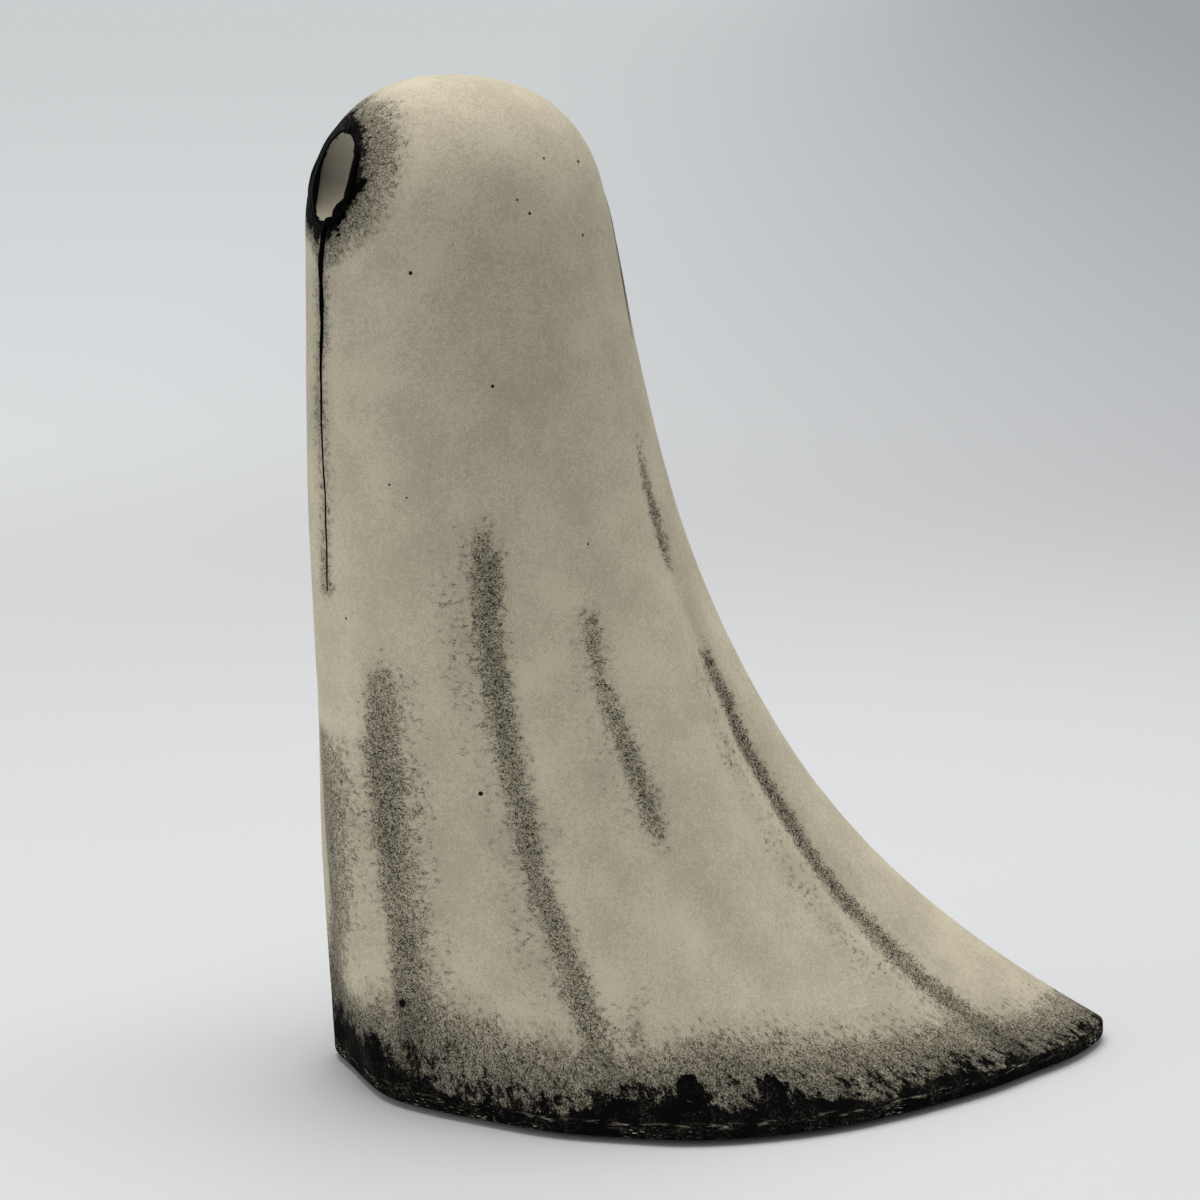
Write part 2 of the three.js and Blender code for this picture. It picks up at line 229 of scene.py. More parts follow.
    def smooth_sheet(self, distance: Array, height: Array) -> Array:
        """Gives the sheet without its folds.

        Args:
            distance: Distances along the hem.
            height: Heights, as many.

        Returns:
            The x and y of each point, from the head's axis.
        """
        hem = self.hem(distance)
        direction = np.arctan2(hem[..., 0], -hem[..., 1])
        radius = 1.0 / np.hypot(np.sin(direction) * 2 / self.head_width, np.cos(direction) * 2 / self.head_depth)
        head = np.stack([radius * np.sin(direction), -radius * np.cos(direction)], axis=-1)
        down = 1.0 - np.clip((height - self.hem_top) / (self.shoulder - self.hem_top), 0.0, 1.0)
        spread = self.even_flare * down + (1.0 - self.even_flare) * down**self.low_flare_power
        up = np.clip((height - self.crown_start) / self.crown_height, 0.0, 1.0)
        left = np.sqrt(1.0 - up * up) ** self.crown_fullness
        point = (head + (hem - head) * spread[..., None]) * left[..., None]
        point[..., 1] += run_through(self.lean, self.course_step, height) - self.crown_forward * (1.0 - left)
        return point

    def valley(self, fold: Fold, distance: Array, height: Array) -> Array:
        """Gives the depth of one valley at distances along the hem and heights.

        Args:
            fold: The valley.
            distance: Distances along the hem.
            height: Heights, as many.

        Returns:
            The depth at each point.
        """
        rise = np.clip(height / fold.top, 0.0, 1.0)
        middle = run_through(fold.course, self.course_step, height)
        half = self.hem_length / 2
        away = np.mod(distance - middle + half, self.hem_length) - half
        footing = fold.foot + (1.0 - fold.foot) * smooth(height / self.foot_height)
        return fold.depth * smooth(1.0 - rise) * footing * np.exp(-((away / fold.width) ** 2))

    def fold_depth(self, distance: Array, height: Array) -> Array:
        """Gives the depth of all valleys together.

        Args:
            distance: Distances along the hem.
            height: Heights, as many.

        Returns:
            The depth at each point.
        """
        depth = self.valley(self.front_fold, distance, height)
        depth = depth + sum(self.valley(fold, distance, height) for fold in self.folds_left)
        return depth + sum(self.valley(fold, -distance, height) for fold in self.folds_right)

    def point(self, distance: Array | float, height: Array | float) -> Array:
        """Gives points of the finished sheet.

        Args:
            distance: Distances along the hem, in mm.
            height: Heights above the floor, in mm.

        Returns:
            The points in mm, in the frame.
        """
        distance, height = np.broadcast_arrays(np.asarray(distance, float), np.asarray(height, float))
        step = self.slope_step
        flat = self.smooth_sheet(distance, height)
        along = self.smooth_sheet(distance + step, height) - self.smooth_sheet(distance - step, height)
        outward = np.stack([along[..., 1], -along[..., 0]], axis=-1)
        outward = outward / np.maximum(np.linalg.norm(outward, axis=-1, keepdims=True), TINY)
        under = np.clip(self.underside + self.hem_round - height, 0.0, self.hem_round)
        drawn_in = self.hem_round - np.sqrt(self.hem_round**2 - under**2)
        flat = flat - outward * (self.fold_depth(distance, height) + drawn_in)[..., None]
        return np.concatenate([flat, height[..., None]], axis=-1) + self.shift

    def face(self, across: Array | float, height: Array | float) -> Array:
        """Gives the points of the face at widths from the middle of the head and heights.

        Args:
            across: Widths from the head's axis, in mm.
            height: Heights, in mm.

        Returns:
            The points in mm, in the frame.
        """
        across, height = np.broadcast_arrays(np.asarray(across, float), np.asarray(height, float))
        reach = np.full(across.shape, self.hem_length / self.face_parts)
        distance = halved(
            -reach, reach, lambda tried: self.point(tried, height)[..., 0] - self.shift[0] < across, self.face_halvings
        )
        return self.point(distance, height)


@dataclass
class EyePlace:
    """Where one eye sits: the recess of its socket and the line of its rim."""

    form: SheetForm
    side: Side
    spacing: float = 15.1
    drop: float = 13.4
    width: float = 9.0
    tall: float = 13.4
    depth: float = 3.9
    tilt: float = 4.0
    slope_step: float = 0.4
    search: tuple[float, float] = (-9.0, 3.0)
    halvings: int = 30

    def __post_init__(self) -> None:
        """Finds the eye's middle and its directions on the face."""
        step = self.slope_step
        across = self.side.value * self.spacing / 2
        height = self.form.height - self.drop
        self.middle = self.form.face(across, height)
        along = self.form.face(across + step, height) - self.form.face(across - step, height)
        rising = self.form.face(across, height + step) - self.form.face(across, height - step)
        normal = np.cross(along, rising)
        self.outward = normal / np.linalg.norm(normal)
        level = Vector((-self.outward[1], self.outward[0], 0.0)).normalized()
        turn = Matrix.Rotation(math.radians(self.tilt * self.side.value), 3, Vector(self.outward))
        self.across = np.array(turn @ level) * self.side.value
        self.up = np.cross(self.outward, self.across) * self.side.value

    def local(self, points: Array) -> Array:
        """Gives points as widths towards the temple, rises and heights above the face's plane at the eye."""
        offset = points - self.middle
        return np.stack([offset @ axis for axis in (self.across, self.up, self.outward)], axis=-1)

    def behind_face(self, points: Array) -> Array:
        """Tells which points lie on or behind the face."""
        return points[..., 1] >= self.form.face(points[..., 0] - self.form.shift[0], points[..., 2])[..., 1]

    def on_face(self, wide: Array, rise: Array) -> Array:
        """Drops points of the eye's plane onto the face.

        Args:
            wide: Widths towards the temple, in mm.
            rise: Rises along the eye's long axis, in mm.

        Returns:
            The points in mm, in the frame.
        """
        flat = self.middle + wide[..., None] * self.across + rise[..., None] * self.up
        low, high = (np.full(wide.shape, end) for end in self.search)
        depth = halved(low, high, lambda tried: self.behind_face(flat + tried[..., None] * self.outward), self.halvings)
        return flat + depth[..., None] * self.outward

    def rim(self, turn: Array, out: Array) -> Array:
        """Gives points on or near the rim.

        Args:
            turn: Turns round the rim in radians, 0 at the temple and a quarter turn at the top.
            out: Distances outside the rim, in mm.

        Returns:
            The points in mm, in the frame.
        """
        wide = (self.width / 2 + out) * np.cos(turn)
        rise = (self.tall / 2 + out) * np.sin(turn)
        return self.on_face(wide, rise)


class NodeBoard:
    """Places and joins the shader nodes of one material or group."""

    def __init__(self, tree: bpy.types.NodeTree) -> None:
        """Takes the tree to work in."""
        self.tree = tree

    def give(self, socket: bpy.types.NodeSocket, value: object) -> None:
        """Joins a socket to another one, or sets its value.

        Args:
            socket: The socket.
            value: The other socket, or the value.
        """
        if isinstance(value, bpy.types.NodeSocket):
            self.tree.links.new(value, socket)
        else:
            socket.default_value = value

    def add(self, kind: str, inputs: dict | None = None, **settings: object) -> bpy.types.Node:
        """Adds a node.

        Args:
            kind: The node's type.
            inputs: What its sockets take, by name or number.
            **settings: Its properties.

        Returns:
            The node.
        """
        node = self.tree.nodes.new(kind)
        for name, value in settings.items():
            setattr(node, name, value)
        for name, value in (inputs or {}).items():
            self.give(node.inputs[name], value)
        return node

    def math(self, operation: str, *values: object, clamp: bool = False) -> bpy.types.NodeSocket:
        """Adds a sum or another operation on numbers, and gives its result."""
        node = self.add("ShaderNodeMath", dict(enumerate(values)), operation=operation, use_clamp=clamp)
        return node.outputs[0]

    def vector(self, operation: str, *values: object) -> bpy.types.NodeSocket:
        """Adds an operation on vectors, and gives its result."""
        node = self.add("ShaderNodeVectorMath", dict(enumerate(values)), operation=operation)
        return node.outputs[0]

    def scaled(self, vector: object, scale: object) -> bpy.types.NodeSocket:
        """Scales a vector by one number."""
        return self.add("ShaderNodeVectorMath", {0: vector, "Scale": scale}, operation="SCALE").outputs[0]

    def eased(self, value: object, low: object, high: object) -> bpy.types.NodeSocket:
        """Eases a number from 0 at low to 1 at high."""
        names = {"Value": value, "From Min": low, "From Max": high}
        return self.add("ShaderNodeMapRange", names, interpolation_type="SMOOTHSTEP").outputs[0]

    def product(self, first: object, *others: object) -> bpy.types.NodeSocket:
        """Multiplies numbers.

        Args:
            first: The first number or socket.
            *others: The others.

        Returns:
            The product.
        """
        for other in others:
            first = self.math("MULTIPLY", first, other)
        return first

    def noise(self, vector: object, scale: float, detail: float, **more: object) -> bpy.types.NodeSocket:
        """Adds an even noise and gives its value."""
        inputs = {"Vector": vector, "Scale": scale, "Detail": detail, **more}
        return self.add("ShaderNodeTexNoise", inputs).outputs[0]

    def centred(self, vector: object, detail: float = 1.0, **more: object) -> bpy.types.NodeSocket:
        """Adds a noise of scale 1 that swings round 0."""
        return self.math("SUBTRACT", self.noise(vector, 1.0, detail, **more), 0.5)

    def group(self, tree: bpy.types.NodeTree, **inputs: object) -> dict[str, bpy.types.NodeSocket]:
        """Places a node group with its own values, and gives its outputs by name.

        Args:
            tree: The group.
            **inputs: What its sockets take.

        Returns:
            Its outputs.
        """
        node = self.tree.nodes.new("ShaderNodeGroup")
        node.node_tree = tree
        for name, value in inputs.items():
            self.give(node.inputs[name], value)
        return {socket.name: socket for socket in node.outputs}

    def attribute(self, name: str) -> bpy.types.bpy_prop_collection:
        """Reads one of the piece's own attributes, and gives its outputs."""
        return self.add("ShaderNodeAttribute", attribute_name=name).outputs

    def place(self) -> bpy.types.NodeSocket:
        """Gives the place in the piece's own space, in mm."""
        return self.scaled(self.add("ShaderNodeTexCoord").outputs["Object"], 1.0 / MM)

    def channels(self, colour: bpy.types.NodeSocket) -> list[bpy.types.NodeSocket]:
        """Takes a colour apart into its three channels."""
        return list(self.add("ShaderNodeSeparateColor", {"Color": colour}).outputs)

    def mix(self, share: object, first: object, second: object) -> bpy.types.NodeSocket:
        """Mixes two colours."""
        node = self.add("ShaderNodeMix", {0: share, 6: first, 7: second}, data_type="RGBA")
        return node.outputs[2]

    def shade(self, share: object, colour: object, shade: object) -> bpy.types.NodeSocket:
        """Multiplies a colour by a shade, by a share."""
        names = {0: share, 6: colour, 7: shade}
        return self.add("ShaderNodeMix", names, data_type="RGBA", blend_type="MULTIPLY").outputs[2]

    def bump(self, strength: float, distance: float, height: object) -> bpy.types.NodeSocket:
        """Adds a bump and gives its normal."""
        return self.add("ShaderNodeBump", {"Strength": strength, "Distance": distance, "Height": height}).outputs[0]

    def surface(self, inputs: dict[str, object]) -> None:
        """Ends the material with one principled surface."""
        shader = self.add("ShaderNodeBsdfPrincipled", inputs)
        self.add("ShaderNodeOutputMaterial", {"Surface": shader.outputs[0]})


def node_group(name: str, takes: dict[str, str], gives: dict[str, str]) -> tuple[bpy.types.NodeTree, NodeBoard]:
    """Starts a shader node group.

    Args:
        name: The group's name.
        takes: Input names and socket kinds.
        gives: Output names and socket kinds.

    Returns:
        The group and a board to build it on.
    """
    tree = bpy.data.node_groups.new(name, "ShaderNodeTree")
    for in_out, sockets in (("INPUT", takes), ("OUTPUT", gives)):
        for label, kind in sockets.items():
            tree.interface.new_socket(name=label, in_out=in_out, socket_type=f"NodeSocket{kind}")
    return tree, NodeBoard(tree)


@dataclass(frozen=True)
class CastGrain:
    """Fine grain and broad clouding of a poured surface, as a node group.

    Each noise has its scale against the finest one, its detail, and its shares of the tone and of the height.
    """

    noises: tuple[tuple[float, ...], ...] = ((1.0, 3.0, 0.5, 0.6), (0.28, 2.0, 0.2, 0.4), (0.03, 2.0, 0.3, 0.0))

    def build(self) -> bpy.types.NodeTree:
        """Builds the group.

        Returns:
            The group.
        """
        takes = {"Vector": "Vector", "Fineness": "Float"}
        tree, board = node_group("Cast grain", takes, {"Tone": "Float", "Height": "Float"})
        given = board.add("NodeGroupInput").outputs
        place = board.scaled(given["Vector"], given["Fineness"])
        tone, height = 0.0, 0.0
        for scale, detail, in_tone, in_height in self.noises:
            value = board.noise(place, scale, detail)
            tone = board.math("MULTIPLY_ADD", value, in_tone, tone)
            height = board.math("MULTIPLY_ADD", value, in_height, height)
        board.add("NodeGroupOutput", {"Tone": tone, "Height": height})
        return tree


@dataclass(frozen=True)
class DryBrush:
    """Dry brushwork as a node group: a wash under curled hair marks, and clots where the paint is dense.

    Scales are against the size of the hair marks. An ease is the pair of values where something starts
    and where it is full.
    """

    patch_gain: float = 0.5
    patch_ease: tuple[float, float] = (0.0, 0.35)
    curl_twist: float = 1.3
    curl_ease: tuple[float, float] = (0.1, 0.005)
    choice_scale: float = 0.55
    choice_ease: tuple[float, float] = (0.1, 0.42)
    speck_scale: float = 2.3
    speck_gain: float = 2.6
    hair_least: float = 0.8
    hair_gain: float = 0.2
    clot_by_curl: float = -0.9
    clot_by_patch: float = 0.3
    clot_by_choice: float = 0.45
    clot_ease: tuple[float, float] = (0.62, 0.92)
    load_ease: tuple[float, float] = (0.0, 0.06)

    def build(self) -> bpy.types.NodeTree:
        """Builds the group.

        Returns:
            The group.
        """
        takes = {"Vector": "Vector", "Patches": "Vector", "Density": "Float", "Wash": "Float", "Clotting": "Float"}
        tree, board = node_group("Dry brush", takes, {"Paint": "Float"})
        given = board.add("NodeGroupInput").outputs
        marks, load = given["Vector"], given["Density"]
        patches = board.centred(given["Patches"], 2.0, Roughness=0.6)
        patchy = board.product(patches, board.eased(load, *self.patch_ease), self.patch_gain)
        density = board.math("ADD", load, patchy)
        curls = board.math("ABSOLUTE", board.centred(marks, 1.5, Roughness=0.5, Distortion=self.curl_twist))
        choice = board.centred(board.scaled(marks, self.choice_scale))
        specks = board.centred(board.scaled(marks, self.speck_scale))
        kept = board.eased(board.math("ADD", density, choice), *self.choice_ease)
        strength = board.math("MULTIPLY_ADD", density, self.hair_gain, self.hair_least)
        hairs = board.product(board.eased(curls, *self.curl_ease), kept, strength)
        specked = board.math("MULTIPLY_ADD", specks, self.speck_gain, 1.0)
        wash = board.math("MULTIPLY", board.product(density, given["Wash"]), specked, clamp=True)
        clots = density
        for value, weight in ((curls, self.clot_by_curl), (patches, self.clot_by_patch), (choice, self.clot_by_choice)):
            clots = board.math("MULTIPLY_ADD", value, weight, clots)
        clots = board.product(board.eased(clots, *self.clot_ease), given["Clotting"])
        brushed = board.math("MULTIPLY_ADD", board.math("SUBTRACT", 1.0, wash), hairs, wash, clamp=True)
        paint = board.product(board.math("MAXIMUM", brushed, clots), board.eased(load, *self.load_ease))
        board.add("NodeGroupOutput", {"Paint": paint})
        return tree


@dataclass(frozen=True)
class FineDust:
    """A thin uneven film of plaster dust, as a node group."""

    cloud_scale: float = 0.25
    cloud_ease: tuple[float, float] = (0.42, 0.75)
    speck_scale: float = 2.6
    speck_ease: tuple[float, float] = (0.45, 0.7)

    def build(self) -> bpy.types.NodeTree:
        """Builds the group.

        Returns:
            The group.
        """
        tree, board = node_group("Fine dust", {"Vector": "Vector", "Amount": "Float"}, {"Dust": "Float"})
        given = board.add("NodeGroupInput").outputs
        clouds = board.eased(board.noise(given["Vector"], self.cloud_scale, 4.0, Roughness=0.65), *self.cloud_ease)
        specks = board.eased(board.noise(given["Vector"], self.speck_scale, 2.0), *self.speck_ease)
        board.add("NodeGroupOutput", {"Dust": board.product(clouds, specks, given["Amount"])})
        return tree


class ShaderGroups:
    """The effects that several finishes share."""

    def __init__(self) -> None:
        """Builds each group once."""
        self.grain = CastGrain().build()
        self.brush = DryBrush().build()
        self.dust = FineDust().build()


def new_material(name: str) -> tuple[bpy.types.Material, NodeBoard]:
    """Starts an empty material and a board to build it on.

    Args:
        name: Its name.

    Returns:
        The material and the board.
    """
    material = bpy.data.materials.new(name)
    material.use_nodes = True
    material.node_tree.nodes.clear()
    return material, NodeBoard(material.node_tree)


@dataclass(frozen=True)
class BrushKind:
    """One kind of brushwork: its marks and patches per mm along each axis, its wash and its clotting."""

    marks: tuple[float, float, float]
    patches: tuple[float, float, float]
    wash: float
    clotting: float


@dataclass(frozen=True)
class CastFinish:
    """Matt cream casting with black dry-brushed paint, and the raw face it was poured to.

    Painted shade darkens the cream between heights in mm: it comes in and goes out again there. An ease is
    the pair of values where something starts and where it is full.
    """

    cream: tuple[float, ...] = (0.614, 0.552, 0.412, 1.0)
    cream_deep: tuple[float, ...] = (0.478, 0.425, 0.315, 1.0)
    # painted shade: the colour the body is darkened by between the painted-shade heights
    height_painted_shade: tuple[float, ...] = (0.82, 0.82, 0.83, 1.0)
    raw: tuple[float, ...] = (0.33, 0.3, 0.235, 1.0)
    paint: tuple[float, ...] = (0.0038, 0.0036, 0.0038, 1.0)
    # painted shade: the colour deep inside the pinholes
    pit_painted_shade: tuple[float, ...] = (0.03, 0.026, 0.02, 1.0)
    # painted shade: the colour the sockets' walls are darkened towards
    socket_painted_shade: tuple[float, ...] = (0.17, 0.152, 0.116, 1.0)
    fineness: float = 4.2
    cream_ease: tuple[float, float] = (0.42, 0.58)
    raw_ease: tuple[float, float] = (0.42, 0.5)
    painted_shade_rise: tuple[float, float] = (60.0, 125.0)
    painted_shade_end: tuple[float, float] = (160.0, 134.0)
    dusty: float = 0.12
    roughness: float = 0.88
    paint_sheen: float = 0.2
    matt: float = 0.35
    bare_ior: float = 1.45
    paint_ior_drop: float = 0.4
    paint_lift: float = 0.5
    relief_strength: float = 0.35
    relief_height: float = 0.00006
    fold_brush: BrushKind = BrushKind((1.6, 1.6, 2.2), (0.34, 0.34, 0.34), 0.52, 0.2)
    hem_brush: BrushKind = BrushKind((2.0, 2.0, 1.5), (0.42, 0.42, 0.3), 0.68, 1.0)
    eye_brush: BrushKind = BrushKind((1.0, 1.0, 1.0), (0.5, 0.5, 0.5), 0.6, 1.0)
    crease_scale: tuple[float, float, float] = (0.3, 0.3, 1.6)
    crease_ease: tuple[float, float] = (0.53, 0.66)
    crease_wear: float = 0.5
    scratch_scale: tuple[float, float, float] = (0.9, 0.9, 6.5)
    scratch_ease: tuple[float, float] = (0.62, 0.7)
    scratched_scale: float = 0.09
    scratched_ease: tuple[float, float] = (0.5, 0.6)

    def build(self, groups: ShaderGroups) -> bpy.types.Material:
        """Builds the material.

        Args:
            groups: The shared effects.

        Returns:
            The material.
        """
        material, board = new_material("cream_cast_painted")
        place = board.place()
        grain = board.group(groups.grain, Vector=place, Fineness=self.fineness)
        painted = self.painted(board, groups, place)
        marks = board.attribute("marks")
        pit_shaded, raw, _ = board.channels(marks["Color"])
        cream = board.mix(board.eased(grain["Tone"], *self.cream_ease), self.cream_deep, self.cream)
        height = board.add("ShaderNodeSeparateXYZ", {0: place}).outputs[2]
        # Painted shade: the cream is darkened between the painted-shade heights and gets lighter again towards the
        # head's top.
        height_shade = board.product(board.eased(height, *self.painted_shade_rise), board.eased(height, *self.painted_shade_end))
        # Painted shade: the marks' alpha darkens the sockets' walls, most in their middles.
        cream = board.mix(marks["Alpha"], board.shade(height_shade, cream, self.height_painted_shade), self.socket_painted_shade)
        pour = board.mix(board.eased(grain["Tone"], *self.raw_ease), self.raw, self.cream_deep)
        # Painted shade: the pinholes darken towards their depths; the raw underside is the pour's own colour.
        cream = board.mix(pit_shaded, board.mix(raw, cream, pour), self.pit_painted_shade)
        dust = board.group(groups.dust, Vector=place, Amount=self.dusty)["Dust"]
        relief = board.math("MULTIPLY_ADD", painted, self.paint_lift, grain["Height"])
        board.surface({
            "Base Color": board.mix(painted, cream, board.mix(dust, self.paint, self.cream_deep)),
            "Roughness": board.math("MULTIPLY_ADD", painted, -self.paint_sheen, self.roughness),
            "Normal": board.bump(self.relief_strength, self.relief_height, relief),
            "Specular IOR Level": self.matt,
            "IOR": board.math("MULTIPLY_ADD", painted, -self.paint_ior_drop, self.bare_ior),
        })
        return material

    def painted(self, board: NodeBoard, groups: ShaderGroups, place: bpy.types.NodeSocket) -> bpy.types.NodeSocket:
        """Joins the brushwork in the folds, at the hem and round the eyes, and wears the hem's edge.

        Args:
            board: The material's board.
            groups: The shared effects.
            place: The place in mm.

        Returns:
            How far each point is painted.
        """
        loads = board.attribute("paint")
        fall = board.attribute("fall")["Vector"]
        ring = board.attribute("round_eye")["Vector"]
        kinds = ((self.fold_brush, place, place), (self.hem_brush, fall, fall), (self.eye_brush, ring, place))
        painted = 0.0
        for (kind, along, clouded), density in zip(kinds, board.channels(loads["Color"])):
            marks = board.vector("MULTIPLY", along, kind.marks)
            patches = board.vector("MULTIPLY", clouded, kind.patches)
            inputs = {"Vector": marks, "Patches": patches, "Density": density, "Wash": kind.wash}
            paint = board.group(groups.brush, Clotting=kind.clotting, **inputs)["Paint"]
            painted = board.math("MAXIMUM", painted, paint)
        crease = board.noise(board.vector("MULTIPLY", fall, self.crease_scale), 1.0, 4.0, Roughness=0.72)
        rubbed = board.product(board.eased(crease, *self.crease_ease), loads["Alpha"], self.crease_wear)
        scratch = board.noise(board.vector("MULTIPLY", fall, self.scratch_scale), 1.0, 2.0, Roughness=0.5)
        scratched = board.noise(fall, self.scratched_scale, 1.0)
        scratched = board.eased(scratched, *self.scratched_ease)
        scratched = board.product(board.eased(scratch, *self.scratch_ease), scratched)
        edge = board.channels(board.attribute("marks")["Color"])[2]
        worn = board.math("MAXIMUM", rubbed, board.product(scratched, edge))
        return board.product(painted, board.math("SUBTRACT", 1.0, worn))


@dataclass(frozen=True)
class EnamelFinish:
    """Thick gloss black enamel with a faint orange peel."""

    black: tuple[float, ...] = (0.0014, 0.0014, 0.0015, 1.0)
    black_dusty: tuple[float, ...] = (0.004, 0.004, 0.0038, 1.0)
    dusty: float = 0.6
    peel_scale: float = 1.7
    peel_strength: float = 0.3
    peel_height: float = 0.00008
    roughness: float = 0.16
    peel_roughness: float = 0.12
    dust_roughness: float = 0.5
    ior: float = 1.04

    def build(self, groups: ShaderGroups) -> bpy.types.Material:
        """Builds the material.

        Args:
            groups: The shared effects.

        Returns:
            The material.
        """
        material, board = new_material("gloss_black_enamel")
        place = board.place()
        dust = board.group(groups.dust, Vector=place, Amount=self.dusty)["Dust"]
        peel = board.noise(place, self.peel_scale, 2.0)
        rough = board.math("MULTIPLY_ADD", peel, self.peel_roughness, self.roughness)
        board.surface({
            "Base Color": board.mix(dust, self.black, self.black_dusty),
            "Roughness": board.math("MULTIPLY_ADD", dust, self.dust_roughness, rough),
            "Normal": board.bump(self.peel_strength, self.peel_height, peel),
            "IOR": self.ior,
        })
        return material


@dataclass(frozen=True)
class FeltFinish:
    """Pressed black felt with loose pale fibres, which lie along and across."""

    dark: tuple[float, ...] = (0.012, 0.012, 0.013, 1.0)
    light: tuple[float, ...] = (0.042, 0.042, 0.045, 1.0)
    dust: tuple[float, ...] = (0.16, 0.15, 0.13, 1.0)
    dusty: float = 0.35
    fibres: tuple[tuple[float, float, float], ...] = ((2.2, 7.0, 5.0), (7.0, 2.0, 5.0))
    fibre_ease: tuple[float, float] = (0.48, 0.74)
    fibre_strength: float = 0.8
    fibre_height: float = 0.00012
    roughness: float = 0.96
    sheen: float = 0.25

    def build(self, groups: ShaderGroups) -> bpy.types.Material:
        """Builds the material.

        Args:
            groups: The shared effects.

        Returns:
            The material.
        """
        material, board = new_material("pressed_black_felt")
        place = board.place()
        tangle = 0.0
        for scales in self.fibres:
            fibres = board.noise(board.vector("MULTIPLY", place, scales), 1.0, 4.0, Roughness=0.7, Distortion=1.6)
            tangle = board.math("MAXIMUM", tangle, fibres)
        film = board.group(groups.dust, Vector=place, Amount=self.dusty)["Dust"]
        colour = board.mix(board.eased(tangle, *self.fibre_ease), self.dark, self.light)
        board.surface({
            "Base Color": board.mix(film, colour, self.dust),
            "Roughness": self.roughness,
            "Normal": board.bump(self.fibre_strength, self.fibre_height, tangle),
            "Sheen Weight": self.sheen,
        })
        return material


def only_select(piece: bpy.types.Object) -> None:
    """Selects one object alone and makes it active.

    Args:
        piece: The object.
    """
    bpy.ops.object.select_all(action="DESELECT")
    piece.select_set(True)
    bpy.context.view_layer.objects.active = piece


def corners(piece: bpy.types.Object) -> Array:
    """Reads a mesh's corners, in mm.

    Args:
        piece: The mesh's object.

    Returns:
        One corner in each row.
    """
    flat = np.empty(len(piece.data.vertices) * 3)
    piece.data.vertices.foreach_get("co", flat)
    return flat.reshape(-1, 3) / MM


def move_corners(piece: bpy.types.Object, places: Array) -> None:
    """Moves a mesh's corners to places in mm."""
    piece.data.vertices.foreach_set("co", (places * MM).astype(np.float32).ravel())
    piece.data.update()


def add_shape(operator: Callable, **settings: object) -> bpy.types.Object:
    """Adds a primitive while nothing is selected, and gives it.

    Args:
        operator: The operator that adds it.
        **settings: What it takes.

    Returns:
        The new object.
    """
    bpy.ops.object.select_all(action="DESELECT")
    operator(**settings)
    return bpy.context.object


def edit_all(piece: bpy.types.Object, operator: Callable, **settings: object) -> None:
    """Runs an edit-mode operator on the whole of a piece's mesh.

    Args:
        piece: The piece.
        operator: The operator.
        **settings: What it takes.
    """
    only_select(piece)
    bpy.ops.object.mode_set(mode="EDIT")
    bpy.ops.mesh.select_all(action="SELECT")
    operator(**settings)
    bpy.ops.object.mode_set(mode="OBJECT")


def nearest_rows(points: Array, places: Array) -> Array:
    """Gives the row of the point nearest to each place.

    Args:
        points: The points, one in each row.
        places: The places.

    Returns:
        A row number for each place.
    """
    tree = KDTree(len(points))
    for i, point in enumerate(points):
        tree.insert(point, i)
    tree.balance()
    return np.array([tree.find(place)[1] for place in places])


def apply_modifier(piece: bpy.types.Object, kind: str, **settings: object) -> None:
    """Adds a modifier to a piece and applies it.

    Args:
        piece: The piece.
        kind: The modifier's type.
        **settings: Its properties.
    """
    only_select(piece)
    modifier = piece.modifiers.new(kind.lower(), kind)
    for name, value in settings.items():
        setattr(modifier, name, value)
    bpy.ops.object.modifier_apply(modifier=modifier.name)


def join(pieces: Sequence[bpy.types.Object]) -> bpy.types.Object:
    """Joins pieces into the first of them.

    Args:
        pieces: The pieces.

    Returns:
        The first piece, which holds them all.
    """
    only_select(pieces[0])
    for piece in pieces[1:]:
        piece.select_set(True)
    bpy.ops.object.join()
    return pieces[0]


def cut(piece: bpy.types.Object, cutter: bpy.types.Object) -> None:
    """Cuts one piece with another, which goes.

    Args:
        piece: The piece.
        cutter: The other piece.
    """
    apply_modifier(piece, "BOOLEAN", operation="DIFFERENCE", object=cutter, solver="EXACT")
    bpy.data.objects.remove(cutter, do_unlink=True)


def finish_piece(piece: bpy.types.Object, name: str, material: bpy.types.Material, slot: str, *nodes: str) -> None:
    """Names a piece, gives it its finish and puts it in the frame.

    Args:
        piece: The piece.
        name: Its name.
        material: Its material.
        slot: The record's slot of that finish; it is not used.
        *nodes: The nodes it stands for.
    """
    piece.name = name
    piece.data.name = name
    piece.data.materials.clear()
    piece.data.materials.append(material)
    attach(piece, BODY)
    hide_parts(*nodes)
    LOG.info("%s: %d faces, stands for %s", name, len(piece.data.polygons), ", ".join(nodes))


@dataclass(frozen=True)
class BrushStreak:
    """One dry-brushed streak: height, place along the hem and load of paint, from low to high.

    Front and back are how far it spreads to either side, in mm along the hem.
    """

    course: tuple[tuple[float, float, float], ...]
    front: float
    back: float


